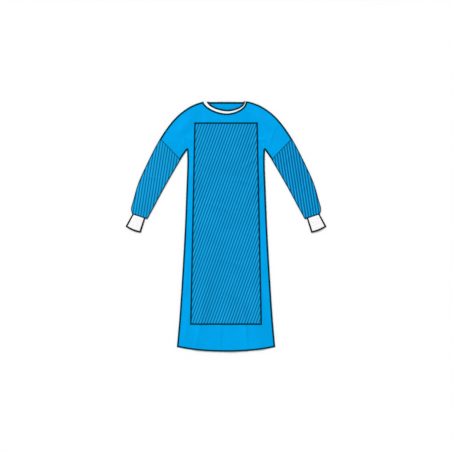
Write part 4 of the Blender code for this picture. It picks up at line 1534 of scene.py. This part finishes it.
class GOWN_OT_stitching(bpy.types.Operator):
    """Rows of stitches on the tapes, the neck band and the hems"""

    bl_idname = "gown.stitching"
    bl_label = "Stitching"

    def execute(self, context):
        sewing = context.scene.gown_sewing
        dark, white = material("seam_thread"), material("white_thread")
        size, low_size = sewing.seam_tape, sewing.lower_tape
        outer, lower = [], []
        for side in (1, -1):
            for line, inwards in ((side_and_underarm(side), side), (shoulder_and_over_arm(side), -side)):
                middle = shifted(line, inwards, seam_width(line) / 2)
                path = raised(middle, front_top, STITCH_LIFT + OVER_TAPE)
                past_seam = on_lower_sleeve(line) > 0.5
                outer.append(path[~past_seam])
                lower.append(path[past_seam])
        xs = np.linspace(-HEM_CORNER[0] + size, HEM_CORNER[0] - size, 141)
        outer.append(raised(shifted(with_height(xs, hem_y(xs)), 1, 0.5 * size), front_top, STITCH_LIFT))
        band = on_band(BAND_STITCHES, BAND_WALL + band_puff(BAND_STITCHES) + 0.0001)
        step, thick = sewing.stitch, sewing.thread
        overlock, straight = (step * 0.7, step * 0.55), (step, step * 0.78)
        for name, lines, cotton, run, across, thickness, slot in (
            ("overlock_stitches", outer, dark, overlock, size * 0.85, thick, "gown_cloth"),
            ("sleeve_overlock", lower, dark, overlock, low_size * 0.85, thick, "gown_cloth"),
            ("border_stitches", self.border_rows(sewing), dark, straight, 0.0, thick, "gown_cloth"),
            ("neck_band_stitches", [band], white, straight, 0.0, thick * 0.8, "white_binding"),
        ):
            stitched(name, lines, cotton, *run, across, thickness)
        return {"FINISHED"}

    def border_rows(self, sewing):
        """Two rows round the reinforcement, and one over each slanting seam."""
        insets = (sewing.border_tape * share for share in (0.25, 0.75))
        rows = [raised(border_line(inset), reinforcement_top, STITCH_LIFT) for inset in insets]
        seam = across_sleeve(SEAM_SECTION, 0.004)
        return rows + [raised(seam * (side, 1), front_top, STITCH_LIFT) for side in (1, -1)]


class GOWN_OT_cut_sizes(bpy.types.Operator):
    """A step that makes and changes nothing"""

    bl_idname = "gown.cut_sizes"
    bl_label = "Cut sizes"

    def execute(self, context):
        return {"FINISHED"}


class GOWN_OT_stage(bpy.types.Operator):
    """Pale floor, soft light and the camera straight above"""

    bl_idname = "gown.stage"
    bl_label = "Stage"

    def execute(self, context):
        scene = context.scene
        mesh = bpy.data.meshes.new("floor")
        size, low = FLOOR_SIZE, FLOOR_HEIGHT
        corners = [(-size, -size, low), (size, -size, low), (size, size, low), (-size, size, low)]
        mesh.from_pydata(corners, [], [(0, 1, 2, 3)])
        finish = Finish("floor_finish", 0.9, 0.0)
        grain = finish.noise(finish.place, 3.0)
        finish.set("Base Color", finish.blend(grain, (0.93, 0.93, 0.93, 1.0), (0.95, 0.95, 0.95, 1.0)))
        mesh.materials.append(finish.material)
        placed("floor", mesh)

        world = bpy.data.worlds.new("studio")
        world.use_nodes = True
        background = world.node_tree.nodes["Background"].inputs
        background["Color"].default_value = (1.0, 1.0, 1.0, 1.0)
        background["Strength"].default_value = SKY_STRENGTH
        scene.world = world
        light = bpy.data.lights.new("window_light", "SUN")
        light.energy = SUN_STRENGTH
        light.angle = SUN_WIDTH
        placed("window_light", light).rotation_euler = SUN_TURN

        camera = bpy.data.cameras.new("camera")
        camera.lens = 85.0
        camera.sensor_width = 36.0
        pixels, pixel = PICTURE
        eye = placed("camera", camera)
        eye.location = (0.0, CAMERA_Y, camera.lens / camera.sensor_width * pixels * pixel)
        scene.camera = eye
        scene.view_settings.view_transform = "Standard"
        scene.view_settings.look = "None"
        return {"FINISHED"}


class GOWN_PT_pieces(bpy.types.Panel):
    """Buttons and settings for the gown's pieces"""

    bl_idname = "GOWN_PT_pieces"
    bl_label = "Surgical Gown"
    bl_space_type = "VIEW_3D"
    bl_region_type = "UI"
    bl_category = "Gown"

    def draw(self, context):
        for operator in OPERATORS:
            self.layout.operator(operator.bl_idname)
        for name in SETTINGS:
            group = getattr(context.scene, name)
            box = self.layout.box()
            for key in group.__annotations__:
                box.prop(group, key)


SETTINGS = {
    "gown_cloth": GownCloth,
    "gown_stripes": GownStripes,
    "gown_sewing": GownSewing,
    "gown_colours": GownColours,
}
OPERATORS = (
    GOWN_OT_stage,
    GOWN_OT_backs,
    GOWN_OT_closures,
    GOWN_OT_front,
    GOWN_OT_reinforcement,
    GOWN_OT_sleeves,
    GOWN_OT_cuffs,
    GOWN_OT_neck_band,
    GOWN_OT_seams,
    GOWN_OT_stitching,
    GOWN_OT_cut_sizes,
)


def register():
    for kind in (*SETTINGS.values(), *OPERATORS, GOWN_PT_pieces):
        bpy.utils.register_class(kind)
    for name, kind in SETTINGS.items():
        setattr(bpy.types.Scene, name, PointerProperty(type=kind))


def unregister():
    for name in SETTINGS:
        delattr(bpy.types.Scene, name)
    for kind in (GOWN_PT_pieces, *reversed(OPERATORS), *reversed(list(SETTINGS.values()))):
        bpy.utils.unregister_class(kind)


def main():
    register()
    bpy.ops.gown.stage()
    bpy.ops.gown.backs()
    bpy.ops.gown.closures()
    bpy.ops.gown.front()
    bpy.ops.gown.reinforcement()
    bpy.ops.gown.sleeves()
    bpy.ops.gown.cuffs()
    bpy.ops.gown.neck_band()
    bpy.ops.gown.seams()
    bpy.ops.gown.stitching()
    bpy.ops.gown.cut_sizes()


if __name__ == "__main__":
    main()
